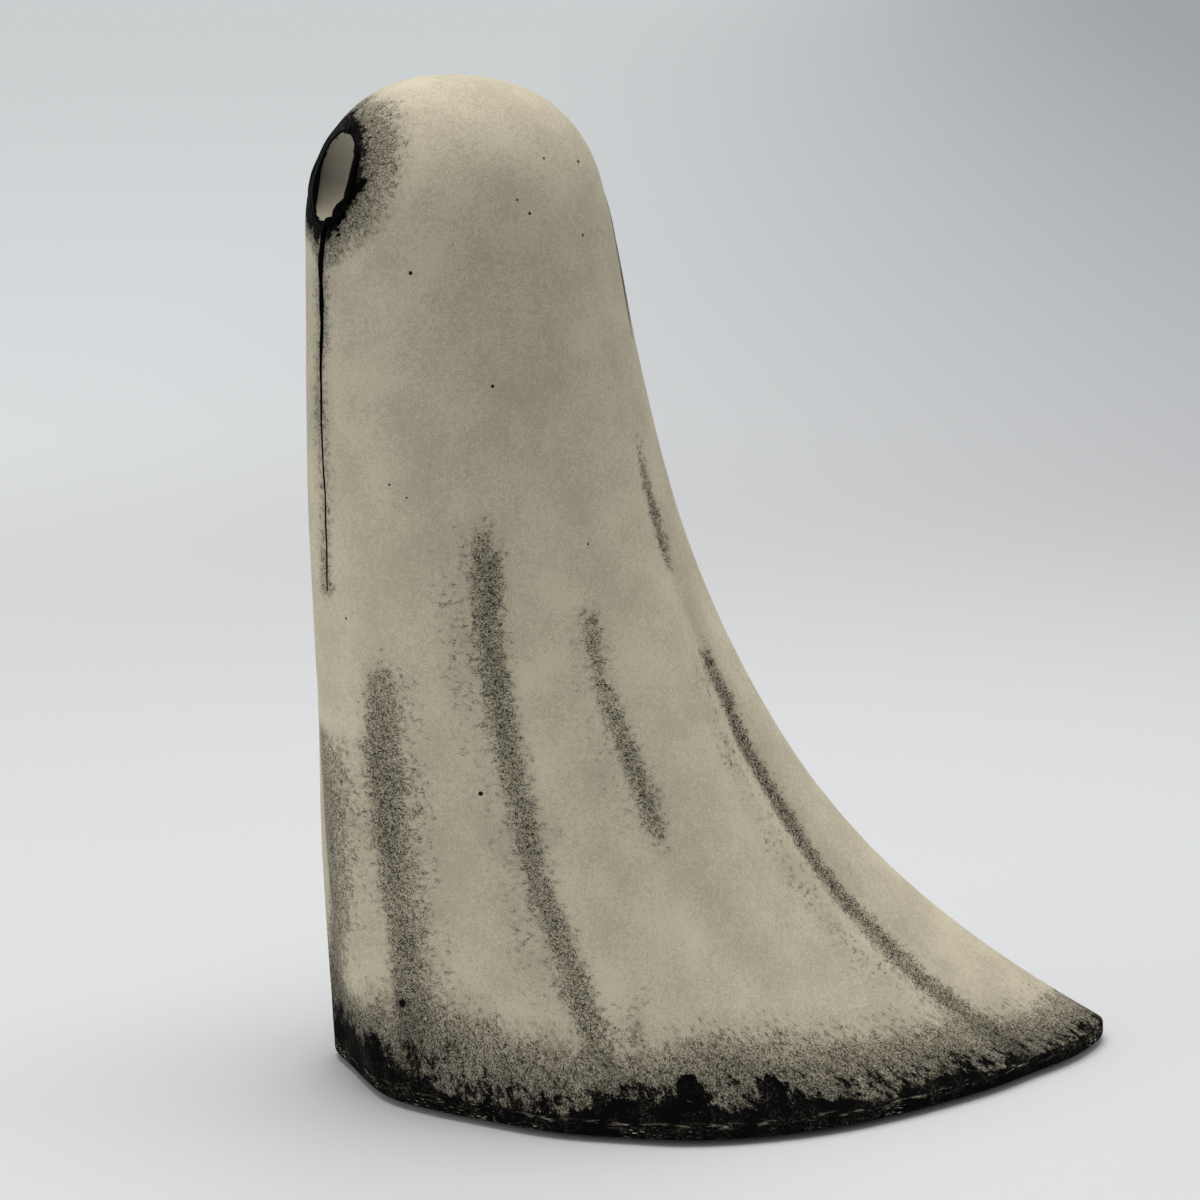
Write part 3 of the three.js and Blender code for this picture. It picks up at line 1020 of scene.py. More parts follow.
@dataclass
class PaintPlan:
    """Where the black paint lies: streaks down the folds, a band at the hem and brushing round the eyes."""

    form: SheetForm
    eyes: tuple[EyePlace, EyePlace]
    streaks_left: tuple[BrushStreak, ...] = (
        BrushStreak(((0, 17.6, 0.75), (16.1, 17.5, 0.72), (20.2, 17.3, 0.62), (26.3, 17.6, 0.62), (32.2, 16.6, 0.56),
                     (38.3, 16, 0.64), (44.2, 15.2, 0.74), (51.7, 14.6, 0.82), (56.1, 14, 0.62), (62.1, 14.2, 0.55),
                     (66, 14.3, 0.3), (68.6, 14.3, 0)), 2.4, 4),
        BrushStreak(((10, 23, 0), (16.1, 22.9, 0.25), (24.1, 22.9, 0.2), (32.2, 22, 0.17), (40.1, 21.5, 0.22),
                     (50.2, 20.6, 0.2), (56.1, 19.5, 0.12), (62.1, 18.9, 0.14), (70.1, 17.3, 0.08),
                     (74.1, 17.3, 0)), 4, 4),
        BrushStreak(((0, 52.8, 0.6), (8.2, 52.8, 0.5), (12.3, 50.8, 0.42), (16.2, 50.6, 0.62), (20.3, 49.5, 0.62),
                     (26.3, 48.3, 0.52), (32.2, 46.2, 0.6), (38.2, 43.3, 0.55), (50, 40.1, 0.6), (56.1, 37.9, 0.6),
                     (62.1, 36.3, 0.67), (68, 35.1, 0.66), (74.1, 33.5, 0.62), (80, 34.3, 0.68), (86, 32.6, 0.45),
                     (88.5, 32.6, 0.2), (91.1, 32.5, 0)), 3.6, 4),
        BrushStreak(((12.1, 42.3, 0), (20.2, 41.9, 0.14), (32.1, 38.5, 0.16), (44.1, 34.2, 0.12), (56, 30.6, 0.15),
                     (62.1, 29.5, 0.2), (74.1, 26.3, 0.17), (86, 26.3, 0.1), (90.1, 26.3, 0)), 3.2, 3.2),
        BrushStreak(((11.3, 58.4, 0.1), (15.2, 58.5, 0.36), (18.2, 59.2, 0.2), (21.2, 60.9, 0.12),
                     (24.1, 61.1, 0)), 2.6, 2.6),
        BrushStreak(((41.3, 49.6, 0), (44.2, 49.5, 0.22), (47.2, 49.5, 0)), 2.2, 2.2),
        BrushStreak(((38.2, 76.4, 0), (42.1, 75.2, 0.3), (45.1, 75.2, 0.46), (48.1, 74.5, 0.54), (54.1, 72.5, 0.56),
                     (60.1, 69.5, 0.5), (66, 66.6, 0.44), (70, 65.8, 0.44), (73.5, 64.9, 0.44), (76.5, 64.5, 0.12),
                     (79, 64.5, 0)), 4.2, 4),
        BrushStreak(((36, 69.5, 0), (48.1, 65.4, 0.1), (60.1, 61.1, 0.12), (72, 58.4, 0.1), (77.1, 58.5, 0)), 3.5, 3.5),
        BrushStreak(((4.1, 122.1, 0.6), (12.1, 121.5, 0.7), (16.1, 120.5, 0.66), (24, 121.5, 0.72),
                     (28.1, 121.4, 0.78), (34.1, 121.8, 0.74), (40.1, 122.3, 0.77), (46.1, 122.3, 0.78),
                     (52.2, 121.1, 0.84), (58.1, 122.8, 0.7), (64, 121.5, 0.68), (67, 121.8, 0.3),
                     (69, 122, 0)), 3.5, 3.3),
        BrushStreak(((12.1, 112, 0.06), (20, 111.3, 0.16), (34.1, 110.7, 0.22), (46.1, 110.4, 0.17),
                     (52.2, 110.1, 0.27), (58.1, 110, 0.14), (64, 112.1, 0.22), (68, 112.5, 0)), 5, 5),
        BrushStreak(((76.9, 116.1, 0), (79.9, 115.5, 0.35), (82, 115.3, 0.48), (88, 112.3, 0.58),
                     (93.9, 110.3, 0.44), (97.9, 109.1, 0.2), (100, 108.8, 0)), 5.5, 5),
        BrushStreak(((0, -6.8, 0.9), (16.4, -5.7, 0.74), (28.5, 0.7, 0.7), (34.9, 2, 0.6), (46.5, 2, 0.6),
                     (52, 1.3, 0.52), (54.7, 1.2, 0.4), (56.8, 0.9, 0)), 5, 8),
        BrushStreak(((74.1, 5.3, 0), (76.6, 5.2, 0.42), (80, 5.2, 0.42), (84.1, 5.3, 0.36), (90.1, 5.9, 0.3),
                     (96, 5.5, 0.32), (102, 4.9, 0.42), (107.9, 4.7, 0.32), (113.9, 5.6, 0.45), (125.9, 5.6, 0.42),
                     (129.9, 6.2, 0.4)), 1.9, 1.9),
    )
    streaks_right: tuple[BrushStreak, ...] = (
        BrushStreak(((0, 25, 0.75), (12, 23.8, 0.7), (25, 21.5, 0.6), (40, 19.5, 0.68), (50, 18.2, 0.8),
                     (58, 17.5, 0.58), (63, 17.4, 0.4), (66, 17.4, 0)), 2.6, 4.0),
        BrushStreak(((12, 31, 0), (20, 30, 0.2), (32, 28, 0.18), (46, 26, 0.22), (58, 23, 0.14), (70, 21, 0)), 4, 4),
        BrushStreak(((0, 58, 0.6), (10, 56, 0.45), (16, 54, 0.6), (28, 50.2, 0.54), (40, 47, 0.6), (56, 43.5, 0.56),
                     (68, 41.4, 0.66), (80, 39.4, 0.64), (85, 38.6, 0.4), (89, 38, 0)), 3.8, 3.8),
        BrushStreak(((14, 49, 0), (30, 42, 0.16), (55, 35.5, 0.15), (78, 32, 0.18), (88, 32, 0)), 3.3, 3.3),
        BrushStreak(((32, 83, 0), (38, 81, 0.4), (46, 78, 0.54), (56, 74, 0.52), (64, 71, 0.44), (69, 70, 0)), 4.2, 4),
        BrushStreak(((4, 120, 0.5), (14, 119.5, 0.6), (28, 118, 0.64), (42, 116, 0.7), (56, 115, 0.72), (64, 114, 0.5),
                     (68, 113, 0)), 3.5, 3.5),
        BrushStreak(((14, 110, 0.06), (30, 108, 0.2), (48, 106, 0.22), (60, 105, 0.14), (66, 105, 0)), 5.0, 5.0),
        BrushStreak(((76, 111, 0), (80, 110, 0.4), (88, 107.5, 0.56), (95, 106, 0.34), (99, 105, 0)), 5.2, 5.0),
        BrushStreak(((75, 5.4, 0), (78, 5.4, 0.4), (88, 5.6, 0.34), (100, 5.4, 0.4), (112, 6.0, 0.36),
                     (122, 6.6, 0.44), (130, 7.2, 0.4)), 1.9, 1.9),
    )
    hem_band: tuple[tuple[float, float, float, float], ...] = (
        (-150, 3.4, 6.5, 9.5), (-141, 3.4, 7, 10.5), (-130, 3.5, 8, 12), (-112, 4, 8.8, 13), (-96, 4, 9.8, 14),
        (-80, 5, 11, 16), (-62, 4.5, 9.5, 13.5), (-48, 4.5, 10, 14.5), (-34, 5, 12, 17), (-25, 6, 13.5, 19),
        (-18, 6, 13, 17.5), (-6, 9, 14.5, 18.5), (0, 9, 13.7, 17.8), (8, 8.5, 13.3, 16), (12.5, 8, 13.5, 18),
        (17, 6.5, 13.5, 18), (22, 5, 15, 20), (27, 3.8, 14, 19), (33, 3.8, 12.7, 17.8), (38, 3.8, 12, 15.5),
        (44, 4, 11.2, 15), (50, 7, 10.5, 14), (55, 7.5, 10.5, 13.5), (60, 7.5, 11, 14), (65, 6, 11.7, 15.5),
        (70, 5, 12.7, 16), (76, 7.5, 12, 15.3), (82, 5.5, 10.7, 15.5), (88, 4.5, 10.3, 14), (95, 3.5, 10.5, 13),
        (103, 5, 9.5, 12.5), (109, 5, 9, 12.3), (115, 3.5, 8.7, 11.8), (121, 4, 8.5, 11), (126, 3.4, 7.3, 9.8),
        (132, 3.4, 7, 9.3), (137, 3.4, 6.5, 9), (150, 3.4, 6.5, 9.5),
    )
    blots: tuple[tuple[float, float, float], ...] = (
        (17.2, 16.7, 0.8), (64.0, 8.5, 1.2), (77.0, 7.5, 1.0), (-40.0, 9.0, 1.1),
    )
    solid_load: float = 1.4
    fold_gain: tuple[float, float] = (0.74, 0.8)
    fold_most: float = 0.9
    edge_wear: float = 0.35
    hem_loads: tuple[float, ...] = (1.38, 0.96, 0.54, 0.16, 0.02)
    hem_falls: tuple[float, ...] = (1.0, 1.6, 1.0, 1.0)
    hem_end: float = 3.0
    hem_line: float = 0.05
    halo_reach: tuple[float, ...] = (9.0, 9.6, 8.6, 7.0, 9.5, 12.0, 13.0, 9.0, 5.5, 7.0, 7.2, 8.4)
    halo_load: float = 1.32
    halo_fall: float = 1.1
    halo_most: float = 1.2
    halo_height: float = 25.0
    halo_crossing: float = 4.0
    bridge_gain: float = 0.6
    bridge_width: float = 2.5
    eye_brush_turns: float = 27.0
    eye_brush_rise: float = 2.2

    def loads(self, distance: Array, height: Array, places: Array) -> Array:
        """Gives the paint's loads.

        Args:
            distance: Places along the hem.
            height: Heights.
            places: The points themselves, in mm.

        Returns:
            One row for each point: in the folds, at the hem, round the eyes, and how worn it is.
        """
        folds = sum(self.streak(streak, distance, height) for streak in self.streaks_left)
        folds = folds + sum(self.streak(streak, -distance, height) for streak in self.streaks_right)
        least, gain = self.fold_gain
        folds = np.minimum(folds * (least + gain * folds), self.fold_most)
        band = self.hem(distance, height)
        for place, rise, size in self.blots:
            away = np.hypot(distance - place, height - rise) / size
            band = band + self.solid_load * np.exp(-(away**2))
        halo = np.zeros(len(places))
        for eye in self.eyes:
            halo = np.maximum(halo, self.halo(eye, places))
        worn = np.exp(-(((height - self.form.hem_top) / self.edge_wear) ** 2))
        return np.stack([folds, band, halo, worn], axis=-1)

    def streak(self, streak: BrushStreak, distance: Array, height: Array) -> Array:
        """Gives one streak's load at places along the hem and heights.

        Args:
            streak: The streak.
            distance: Places along the hem.
            height: Heights.

        Returns:
            The load at each point.
        """
        heights, middles, loads = np.array(streak.course, float).T
        half = self.form.hem_length / 2
        away = np.mod(distance - np.interp(height, heights, middles) + half, 2 * half) - half
        load = np.interp(height, heights, loads, left=loads[0], right=0.0)
        return load * np.exp(-((away / np.where(away < 0, streak.front, streak.back)) ** 2))

    def hem(self, distance: Array, height: Array) -> Array:
        """Gives the hem band's load.

        Args:
            distance: Places along the hem.
            height: Heights.

        Returns:
            The load: solid under the edge, and from there less up to each of the band's heights.
        """
        places, *levels = np.array(self.hem_band, float).T
        dense, half, thin = (np.interp(distance, places, level) for level in levels)
        heights = (self.form.hem_top, dense, half, thin, thin + self.hem_end)
        load = self.hem_loads[0]
        for i, fall in enumerate(self.hem_falls):
            share = np.clip((height - heights[i]) / (heights[i + 1] - heights[i]), 0.0, 1.0)
            load = load - (self.hem_loads[i] - self.hem_loads[i + 1]) * share**fall
        return np.where(height < self.form.hem_top - self.hem_line, self.solid_load, load)

    def halo(self, eye: EyePlace, places: Array) -> Array:
        """Gives the load of the brushing round one eye, which is fullest on the bridge between the eyes.

        Args:
            eye: The eye.
            places: Points in mm.

        Returns:
            The load at each point.
        """
        wide, rise, _ = eye.local(places).T
        radius = np.hypot(wide, rise)
        norm = np.maximum(np.hypot(wide * 2 / eye.width, rise * 2 / eye.tall), TINY)
        out = radius - radius / norm
        turn = np.mod(np.arctan2(rise, wide), 2 * math.pi) / (2 * math.pi) * len(self.halo_reach)
        ring = np.array([*self.halo_reach, self.halo_reach[0]])
        reach = np.interp(turn, np.arange(len(ring)), ring)
        load = self.halo_load * np.clip(1.0 - out / reach, 0.0, 1.0) ** self.halo_fall
        load = np.minimum(load * (1.0 + self.bridge_gain * smooth(-wide / self.bridge_width)), self.halo_most)
        near = np.abs(places[:, 2] - eye.middle[2]) < self.halo_height
        near &= (places[:, 1] < 0) & (places[:, 0] * eye.side.value > -self.halo_crossing)
        return np.where(near, load, 0.0)

    def round_eye(self, places: Array) -> Array:
        """Gives brush directions round the nearer eye: two for the turn and one outwards.

        Args:
            places: Points in mm.

        Returns:
            One row for each point.
        """
        left = places[:, 0] - self.form.shift[0] > 0
        rows = np.zeros((len(places), 3))
        for eye, chosen in zip(self.eyes, (left, ~left)):
            wide, rise, _ = eye.local(places[chosen]).T
            turn = np.arctan2(rise, wide)
            around = np.stack([np.cos(turn), np.sin(turn)], axis=-1) * self.eye_brush_turns
            rows[chosen] = np.column_stack([around, np.hypot(wide, rise) * self.eye_brush_rise])
        return rows


@dataclass
class GhostCasting:
    """The figure itself: the draped body with its two sockets and the pinholes of the pour."""

    form: SheetForm
    eyes: tuple[EyePlace, EyePlace]
    plan: PaintPlan
    around: int = 380
    underside_rings: int = 11
    fall_rings: int = 165
    crown_rings: int = 36
    edge_rings: int = 3
    round_rings: int = 5
    ring_bias: float = 1.35
    weld: float = 1e-7
    slope_step: float = 0.3
    slope_levels: int = 60
    slope_columns: int = 121
    slope_bias: float = 1.5
    socket_mesh: tuple[int, int] = (96, 64)
    pit_mesh: int = 3
    unevenness: float = 0.09
    axis_gap: float = 1.0
    swells: tuple[tuple[float, float], ...] = ((0.075, 1.0), (0.19, 0.4))
    swell_start: float = 8.0
    under_paint: tuple[float, float] = (0.86, 0.12)
    wall_slack: float = 0.01
    wall_start: float = 0.3
    wall_gap: float = 0.25
    roof_light: float = 0.35
    sill_light: float = 0.5
    scuff_start: float = 0.2
    smooth_angle: float = 42.0
    pit_sink: float = 0.25
    pit_reach: float = 1.4
    # painted shade inside a pinhole: where it starts and how fast it grows, in shares of its size
    pit_shade_ease: tuple[float, float] = (0.1, 0.5)
    pits: tuple[tuple[float, float, float], ...] = (
        (20, 123.8, 0.3), (46.6, 131.8, 0.24), (42.3, 133.7, 0.18), (85.7, 138.3, 0.32), (75.5, 128.2, 0.24),
        (34.9, 108, 0.27), (17.2, 93.9, 0.2), (19.8, 92.2, 0.16), (67.4, 84.8, 0.18), (9.2, 73.5, 0.2),
        (32.1, 49.6, 0.36), (-24, 118, 0.28), (-52, 127, 0.22), (-70, 96, 0.26), (-38, 84, 0.18), (-91, 71, 0.3),
        (-120, 104, 0.24), (-16, 98, 0.2), (-104, 52, 0.22), (-47, 60, 0.3), (-28, 44, 0.2), (147, 88, 0.26),
        (126.7, 121.2, 0.22), (-140, 62, 0.24), (-66, 36, 0.22), (58.4, 139.1, 0.2),
    )

    def rows(self) -> tuple[Array, Array]:
        """Gives each ring's share of the way out on the underside, and its height.

        Returns:
            The shares and the heights, from the underside's middle up to the crown.
        """
        form = self.form
        quarter = math.pi / 2
        inner = np.linspace(0.0, 1.0, self.underside_rings + 1)[:-1]
        turned = form.underside + form.hem_round * (1 - np.cos(np.linspace(0, quarter, self.round_rings + 1)))
        edge = np.linspace(form.underside + form.hem_round, form.hem_top, self.edge_rings + 1)[1:]
        fall = np.linspace(0.0, 1.0, self.fall_rings + 1)[1:] ** self.ring_bias
        fall = form.hem_top + (form.crown_start - form.hem_top) * fall
        crown = form.crown_start + form.crown_height * np.sin(np.linspace(0, quarter, self.crown_rings + 1)[1:])
        heights = np.concatenate([np.full(len(inner), form.underside), turned, edge, fall, crown])
        shares = np.concatenate([inner, np.ones(len(heights) - len(inner))])
        return shares, heights

    def body(self) -> tuple[bpy.types.Object, Array, Array]:
        """Wraps a grid into the closed draped body.

        Returns:
            The body, and each corner's place along the hem and share of the way out on the underside.
        """
        shares, heights = self.rows()
        last = len(heights) - 1
        piece = add_shape(bpy.ops.mesh.primitive_grid_add, x_subdivisions=self.around, y_subdivisions=last, size=1.0)
        flat = corners(piece) * MM
        distance = flat[:, 0] * self.form.hem_length
        row = np.rint((flat[:, 1] + 0.5) * last).astype(int)
        points = self.form.point(distance, heights[row])
        turns = np.linspace(0, self.form.hem_length, self.form.turn_samples)
        middle = self.form.point(turns, self.form.underside).mean(axis=0)
        under = shares[row] < 1
        points[under] = middle + (points[under] - middle) * shares[row][under, None]
        points = self.uneven(points, ~under)
        move_corners(piece, points)
        edit_all(piece, bpy.ops.mesh.remove_doubles, threshold=self.weld)
        return piece, points, np.stack([distance, shares[row]], axis=-1)

    def uneven(self, points: Array, outside: Array) -> Array:
        """Gives the outside the slight unevenness of a hand-made mould.

        Args:
            points: The corners, in mm.
            outside: Which of them are on the outside.

        Returns:
            The corners, moved.
        """
        moved = points.copy()
        for i in np.flatnonzero(outside):
            x, y, z = points[i]
            push = sum(share * noise.noise(Vector((x, y, z)) * scale) for scale, share in self.swells)
            fade = min(1.0, max(0.0, (z - self.form.hem_top) / self.swell_start))
            radial = np.array([x, y, 0.0])
            length = np.linalg.norm(radial)
            if length > self.axis_gap:
                moved[i] += radial / length * push * self.unevenness * fade
        return moved

    def normals(self, distance: Array, height: Array) -> Array:
        """Gives the sheet's outward directions.

        Args:
            distance: Distances along the hem.
            height: Heights, as many.

        Returns:
            One unit vector for each point.
        """
        step = self.slope_step
        across = self.form.point(distance + step, height) - self.form.point(distance - step, height)
        rising = self.form.point(distance, height + step) - self.form.point(distance, height - step)
        normal = np.cross(across, rising)
        return normal / np.linalg.norm(normal, axis=-1, keepdims=True)

    def socket_cutter(self, eye: EyePlace) -> bpy.types.Object:
        """Shapes the solid that hollows one socket.

        Args:
            eye: The eye.

        Returns:
            The cutter.
        """
        segments, rings = self.socket_mesh
        cutter = add_shape(bpy.ops.mesh.primitive_uv_sphere_add, segments=segments, ring_count=rings, radius=1.0)
        ball = corners(cutter) * MM
        shape = ball * np.array([eye.width / 2, eye.tall / 2, eye.depth])
        axes = np.stack([eye.across, eye.up, eye.outward])
        move_corners(cutter, eye.middle + shape @ axes)
        edit_all(cutter, bpy.ops.mesh.normals_make_consistent, inside=False)
        return cutter

    def pit_cutter(self) -> bpy.types.Object:
        """Shapes the small bubbles that open as pinholes.

        Returns:
            The cutter.
        """
        places, heights, sizes = np.array(self.pits).T
        middles = self.form.point(places, heights) - self.normals(places, heights) * sizes[:, None] * self.pit_sink
        balls = []
        for middle, size in zip(middles, sizes):
            ball = add_shape(bpy.ops.mesh.primitive_ico_sphere_add, subdivisions=self.pit_mesh, radius=size * MM)
            move_corners(ball, corners(ball) + middle)
            balls.append(ball)
        return join(balls)

    def socket_shade(self, places: Array) -> Array:
        """Gives how deep in shade each point of a socket's wall is, and 0 elsewhere.

        Args:
            places: Points in mm.

        Returns:
            The shade at each point.
        """
        shade = np.zeros(len(places))
        for eye in self.eyes:
            wide, rise, deep = eye.local(places).T
            norm = np.sqrt((wide * 2 / eye.width) ** 2 + (rise * 2 / eye.tall) ** 2 + (deep / eye.depth) ** 2)
            here = (np.abs(norm - 1) < self.wall_slack) & (deep < -self.wall_start)
            up = rise[here] * 2 / eye.tall
            shade[here] = 1.0 - np.where(up > 0, self.roof_light, -self.sill_light) * up
        return shade

    def pit_shade(self, places: Array) -> Array:
        """Gives the painted shade deep inside the pinholes, and 0 elsewhere.

        Args:
            places: Points in mm.

        Returns:
            The shade at each point.
        """
        pit_places, pit_heights, sizes = np.array(self.pits).T
        middles, normals = self.form.point(pit_places, pit_heights), self.normals(pit_places, pit_heights)
        start, width = self.pit_shade_ease
        pit_shaded = np.zeros(len(places))
        for middle, outward, size in zip(middles, normals, sizes):
            offset = places - middle
            near = np.linalg.norm(offset, axis=-1) < size * self.pit_reach
            pit_shaded = np.maximum(pit_shaded, near * smooth((-(offset @ outward) / size - start) / width))
        return pit_shaded

    def paint(self, piece: bpy.types.Object, grid: Array, rows: Array) -> None:
        """Stores what the finish reads from the casting's surface.

        Args:
            piece: The casting.
            grid: The corners of the wrapped grid.
            rows: Their places along the hem and shares of the way out.
        """
        places = corners(piece)
        nearest = nearest_rows(grid, places)
        distance, share = rows[nearest].T
        height = places[:, 2]
        loads = self.plan.loads(distance, height, places)
        start, width = self.under_paint
        loads[share < 1] *= np.clip((share[share < 1, None] - start) / width, 0, 1)
        shade = self.socket_shade(places)
        shade[np.linalg.norm(places - grid[nearest], axis=-1) <= self.wall_gap] = 0.0
        loads[shade > 0] = 0.0
        turn = distance / self.form.hem_length * 2 * math.pi
        radius = self.form.hem_length / (2 * math.pi)
        slope = self.slope_length(distance, height)
        fall = np.stack([np.cos(turn) * radius, np.sin(turn) * radius, slope], axis=-1)
        edge = (height < self.form.hem_top - self.scuff_start) & (share == 1)
        # The marks hold the painted shade deep in the pinholes, the raw underside, the worn hem edge and the painted
        # shade on the sockets' walls.
        marks = np.stack([self.pit_shade(places), share < 1, edge, shade], axis=-1)
        self.store(piece, "paint", "FLOAT_COLOR", "color", loads)
        self.store(piece, "marks", "FLOAT_COLOR", "color", marks)
        self.store(piece, "fall", "FLOAT_VECTOR", "vector", fall)
        self.store(piece, "round_eye", "FLOAT_VECTOR", "vector", self.plan.round_eye(places))

    def slope_length(self, distance: Array, height: Array) -> Array:
        """Gives the length up the sheet from the hem to each point.

        Args:
            distance: Distances along the hem.
            height: Heights, as many.

        Returns:
            The lengths in mm.
        """
        levels = np.linspace(0, 1, self.slope_levels) ** self.slope_bias
        levels = self.form.hem_top + levels * (self.form.height - self.form.hem_top)
        turns = np.linspace(-self.form.hem_length / 2, self.form.hem_length / 2, self.slope_columns)
        table = self.form.point(turns[:, None], levels[None, :])
        steps = np.linalg.norm(np.diff(table, axis=1), axis=-1)
        lengths = np.concatenate([np.zeros((len(turns), 1)), np.cumsum(steps, axis=1)], axis=1)
        column = np.clip((distance - turns[0]) / (turns[1] - turns[0]), 0, len(turns) - 1.001)
        index = column.astype(int)
        share = column - index
        out = np.empty(len(distance))
        for i in np.unique(index):
            chosen = index == i
            near = np.interp(height[chosen], levels, lengths[i])
            far = np.interp(height[chosen], levels, lengths[i + 1])
            out[chosen] = near * (1 - share[chosen]) + far * share[chosen]
        return out + np.minimum(height - self.form.hem_top, 0.0)

    @staticmethod
    def store(piece: bpy.types.Object, name: str, kind: str, field_name: str, rows: Array) -> None:
        """Stores one attribute on a mesh's corners.

        Args:
            piece: The mesh's object.
            name: The attribute's name.
            kind: Its type.
            field_name: The field that holds its values.
            rows: Its values, one row for each corner.
        """
        attribute = piece.data.attributes.new(name, kind, "POINT")
        attribute.data.foreach_set(field_name, rows.astype(np.float32).ravel())

    def build(self, material: bpy.types.Material) -> bpy.types.Object:
        """Builds the casting and puts it in the frame.

        Args:
            material: Its finish.

        Returns:
            The casting.
        """
        piece, grid, rows = self.body()
        cut(piece, join([*(self.socket_cutter(eye) for eye in self.eyes), self.pit_cutter()]))
        self.paint(piece, grid, rows)
        only_select(piece)
        bpy.ops.object.shade_smooth_by_angle(angle=math.radians(self.smooth_angle))
        finish_piece(piece, "draped_casting", material, "cream_cast", "ghost_casting")
        return piece


@dataclass
class EyeEnamel:
    """The raised enamel round one socket and its tear."""

    eye: EyePlace
    rim_course: tuple[tuple[float, float, float], ...] = (
        (-180, -0.85, 0.5), (-159, -1.05, 0.4), (-147, -0.9, 0.4), (-138, -0.35, 0.4), (-126, -0.15, 0.5),
        (-112, -0.1, 0.8), (-96, -0.25, 0.8), (-84, -0.45, 0.9), (-72, -0.5, 1.0), (-60, -0.25, 1.0), (-51, -0.8, 0.9),
        (-42, -0.8, 0.6), (-33, -0.3, 0.8), (-27, 0.0, 1.7), (-18, -0.2, 2.1), (-9, -0.3, 1.8), (0, -0.2, 1.5),
        (12, -0.1, 1.4), (24, 0.05, 1.3), (33, 0.05, 1.0), (45, 0.0, 0.45), (63, -0.25, 0.15), (84, -0.5, 0.25),
        (105, -0.1, 0.6), (123, 0.0, 0.8), (141, -0.05, 0.7), (160, -0.3, 0.5), (174, -0.7, 0.5), (180, -0.85, 0.5),
    )
    pressed: float = 0.5
    tear_course: tuple[tuple[float, float, float], ...] = (
        (12.3, 131.6, 0.6), (11.1, 130.6, 0.56), (9.3, 130.3, 0.52), (8.35, 128.7, 0.5), (7.8, 124.8, 0.49),
        (7.8, 118.9, 0.38), (7.55, 109.9, 0.27), (7.35, 101.8, 0.22), (7.65, 96.0, 0.2), (7.9, 90.2, 0.19),
        (7.85, 84.1, 0.19), (7.6, 76.9, 0.17),
    )
    blobs: tuple[tuple[float, float, float], ...] = (
        (7.4, -0.5, 0.5), (6.9, -1.0, 0.66), (6.4, -1.7, 0.7), (5.8, -2.5, 0.7), (5.2, 2.6, 0.4),
        (3.4, -6.6, 0.42), (3.25, -7.5, 0.34), (3.1, -8.3, 0.26), (0.4, 7.1, 0.3),
    )
    drop_mesh: tuple[int, int] = (24, 16)
    tube_mesh: int = 4
    voxel: float = 0.1
    smoothing: float = 0.5
    smoothings: int = 6
    unevenness: float = 0.25
    rim_steps: int = 180
    rim_least: float = 0.24
    rim_swells: float = 3.0
    rim_shift: float = 4.0
    tear_steps: int = 160
    tear_swells: float = 0.35
    tear_shift: float = 7.0
    wander: float = 0.3
    wander_swells: float = 0.16
    wander_shift: float = 3.0

    def tube(self, points: Array, radii: Array, closed: bool) -> bpy.types.Object:
        """Draws a round tube along points.

        Args:
            points: Its middle line, in mm.
            radii: Its radius at each point, in mm.
            closed: Whether it closes on itself.

        Returns:
            The tube, as a mesh.
        """
        piece = add_shape(bpy.ops.curve.primitive_nurbs_path_add)
        piece.data.splines.clear()
        spline = piece.data.splines.new("POLY")
        spline.points.add(len(points) - 1)
        for target, point, radius in zip(spline.points, points, radii):
            target.co = (*(point * MM), 1.0)
            target.radius = radius
        spline.use_cyclic_u = closed
        piece.data.dimensions = "3D"
        piece.data.bevel_depth = MM
        piece.data.bevel_resolution = self.tube_mesh
        piece.data.use_fill_caps = True
        only_select(piece)
        bpy.ops.object.convert(target="MESH")
        return bpy.context.object

    def ball(self, wide: float, rise: float, radius: float) -> bpy.types.Object:
        """Places one drop of enamel on the face.

        Args:
            wide: Width towards the temple, in mm.
            rise: Rise along the eye's long axis, in mm.
            radius: Its radius, in mm.

        Returns:
            The drop.
        """
        segments, rings = self.drop_mesh
        piece = add_shape(bpy.ops.mesh.primitive_uv_sphere_add, segments=segments, ring_count=rings, radius=radius * MM)
        flat = corners(piece) @ np.stack([self.eye.across, self.eye.up, self.eye.outward * self.pressed])
        move_corners(piece, flat + self.eye.on_face(np.array([wide]), np.array([rise]))[0])
        return piece

    def rim_tube(self) -> bpy.types.Object:
        """Draws the flat bead round the socket between its inner and outer edge, broad at the temple and below it.

        Returns:
            The bead, as a mesh.
        """
        turns = np.linspace(-math.pi, math.pi, self.rim_steps, endpoint=False)
        places, *edges = np.array(self.rim_course).T
        inner, outer = (np.interp(np.degrees(turns), places, edge) for edge in edges)
        ring = np.stack([np.cos(turns), np.sin(turns)], axis=-1) * self.rim_swells
        shift = self.eye.side.value * self.rim_shift
        uneven = np.array([noise.noise(Vector((x, y, shift))) for x, y in ring])
        radii = np.maximum((outer - inner) / 2 * (1 + self.unevenness * uneven), self.rim_least)
        middles = self.eye.rim(turns, (inner + outer) / 2)
        piece = self.tube(middles, radii, True)
        places = corners(piece)
        offset = places - middles[nearest_rows(middles, places)]
        high = (offset @ self.eye.outward)[:, None] * self.eye.outward
        move_corners(piece, places - high * (1.0 - self.pressed))
        return piece

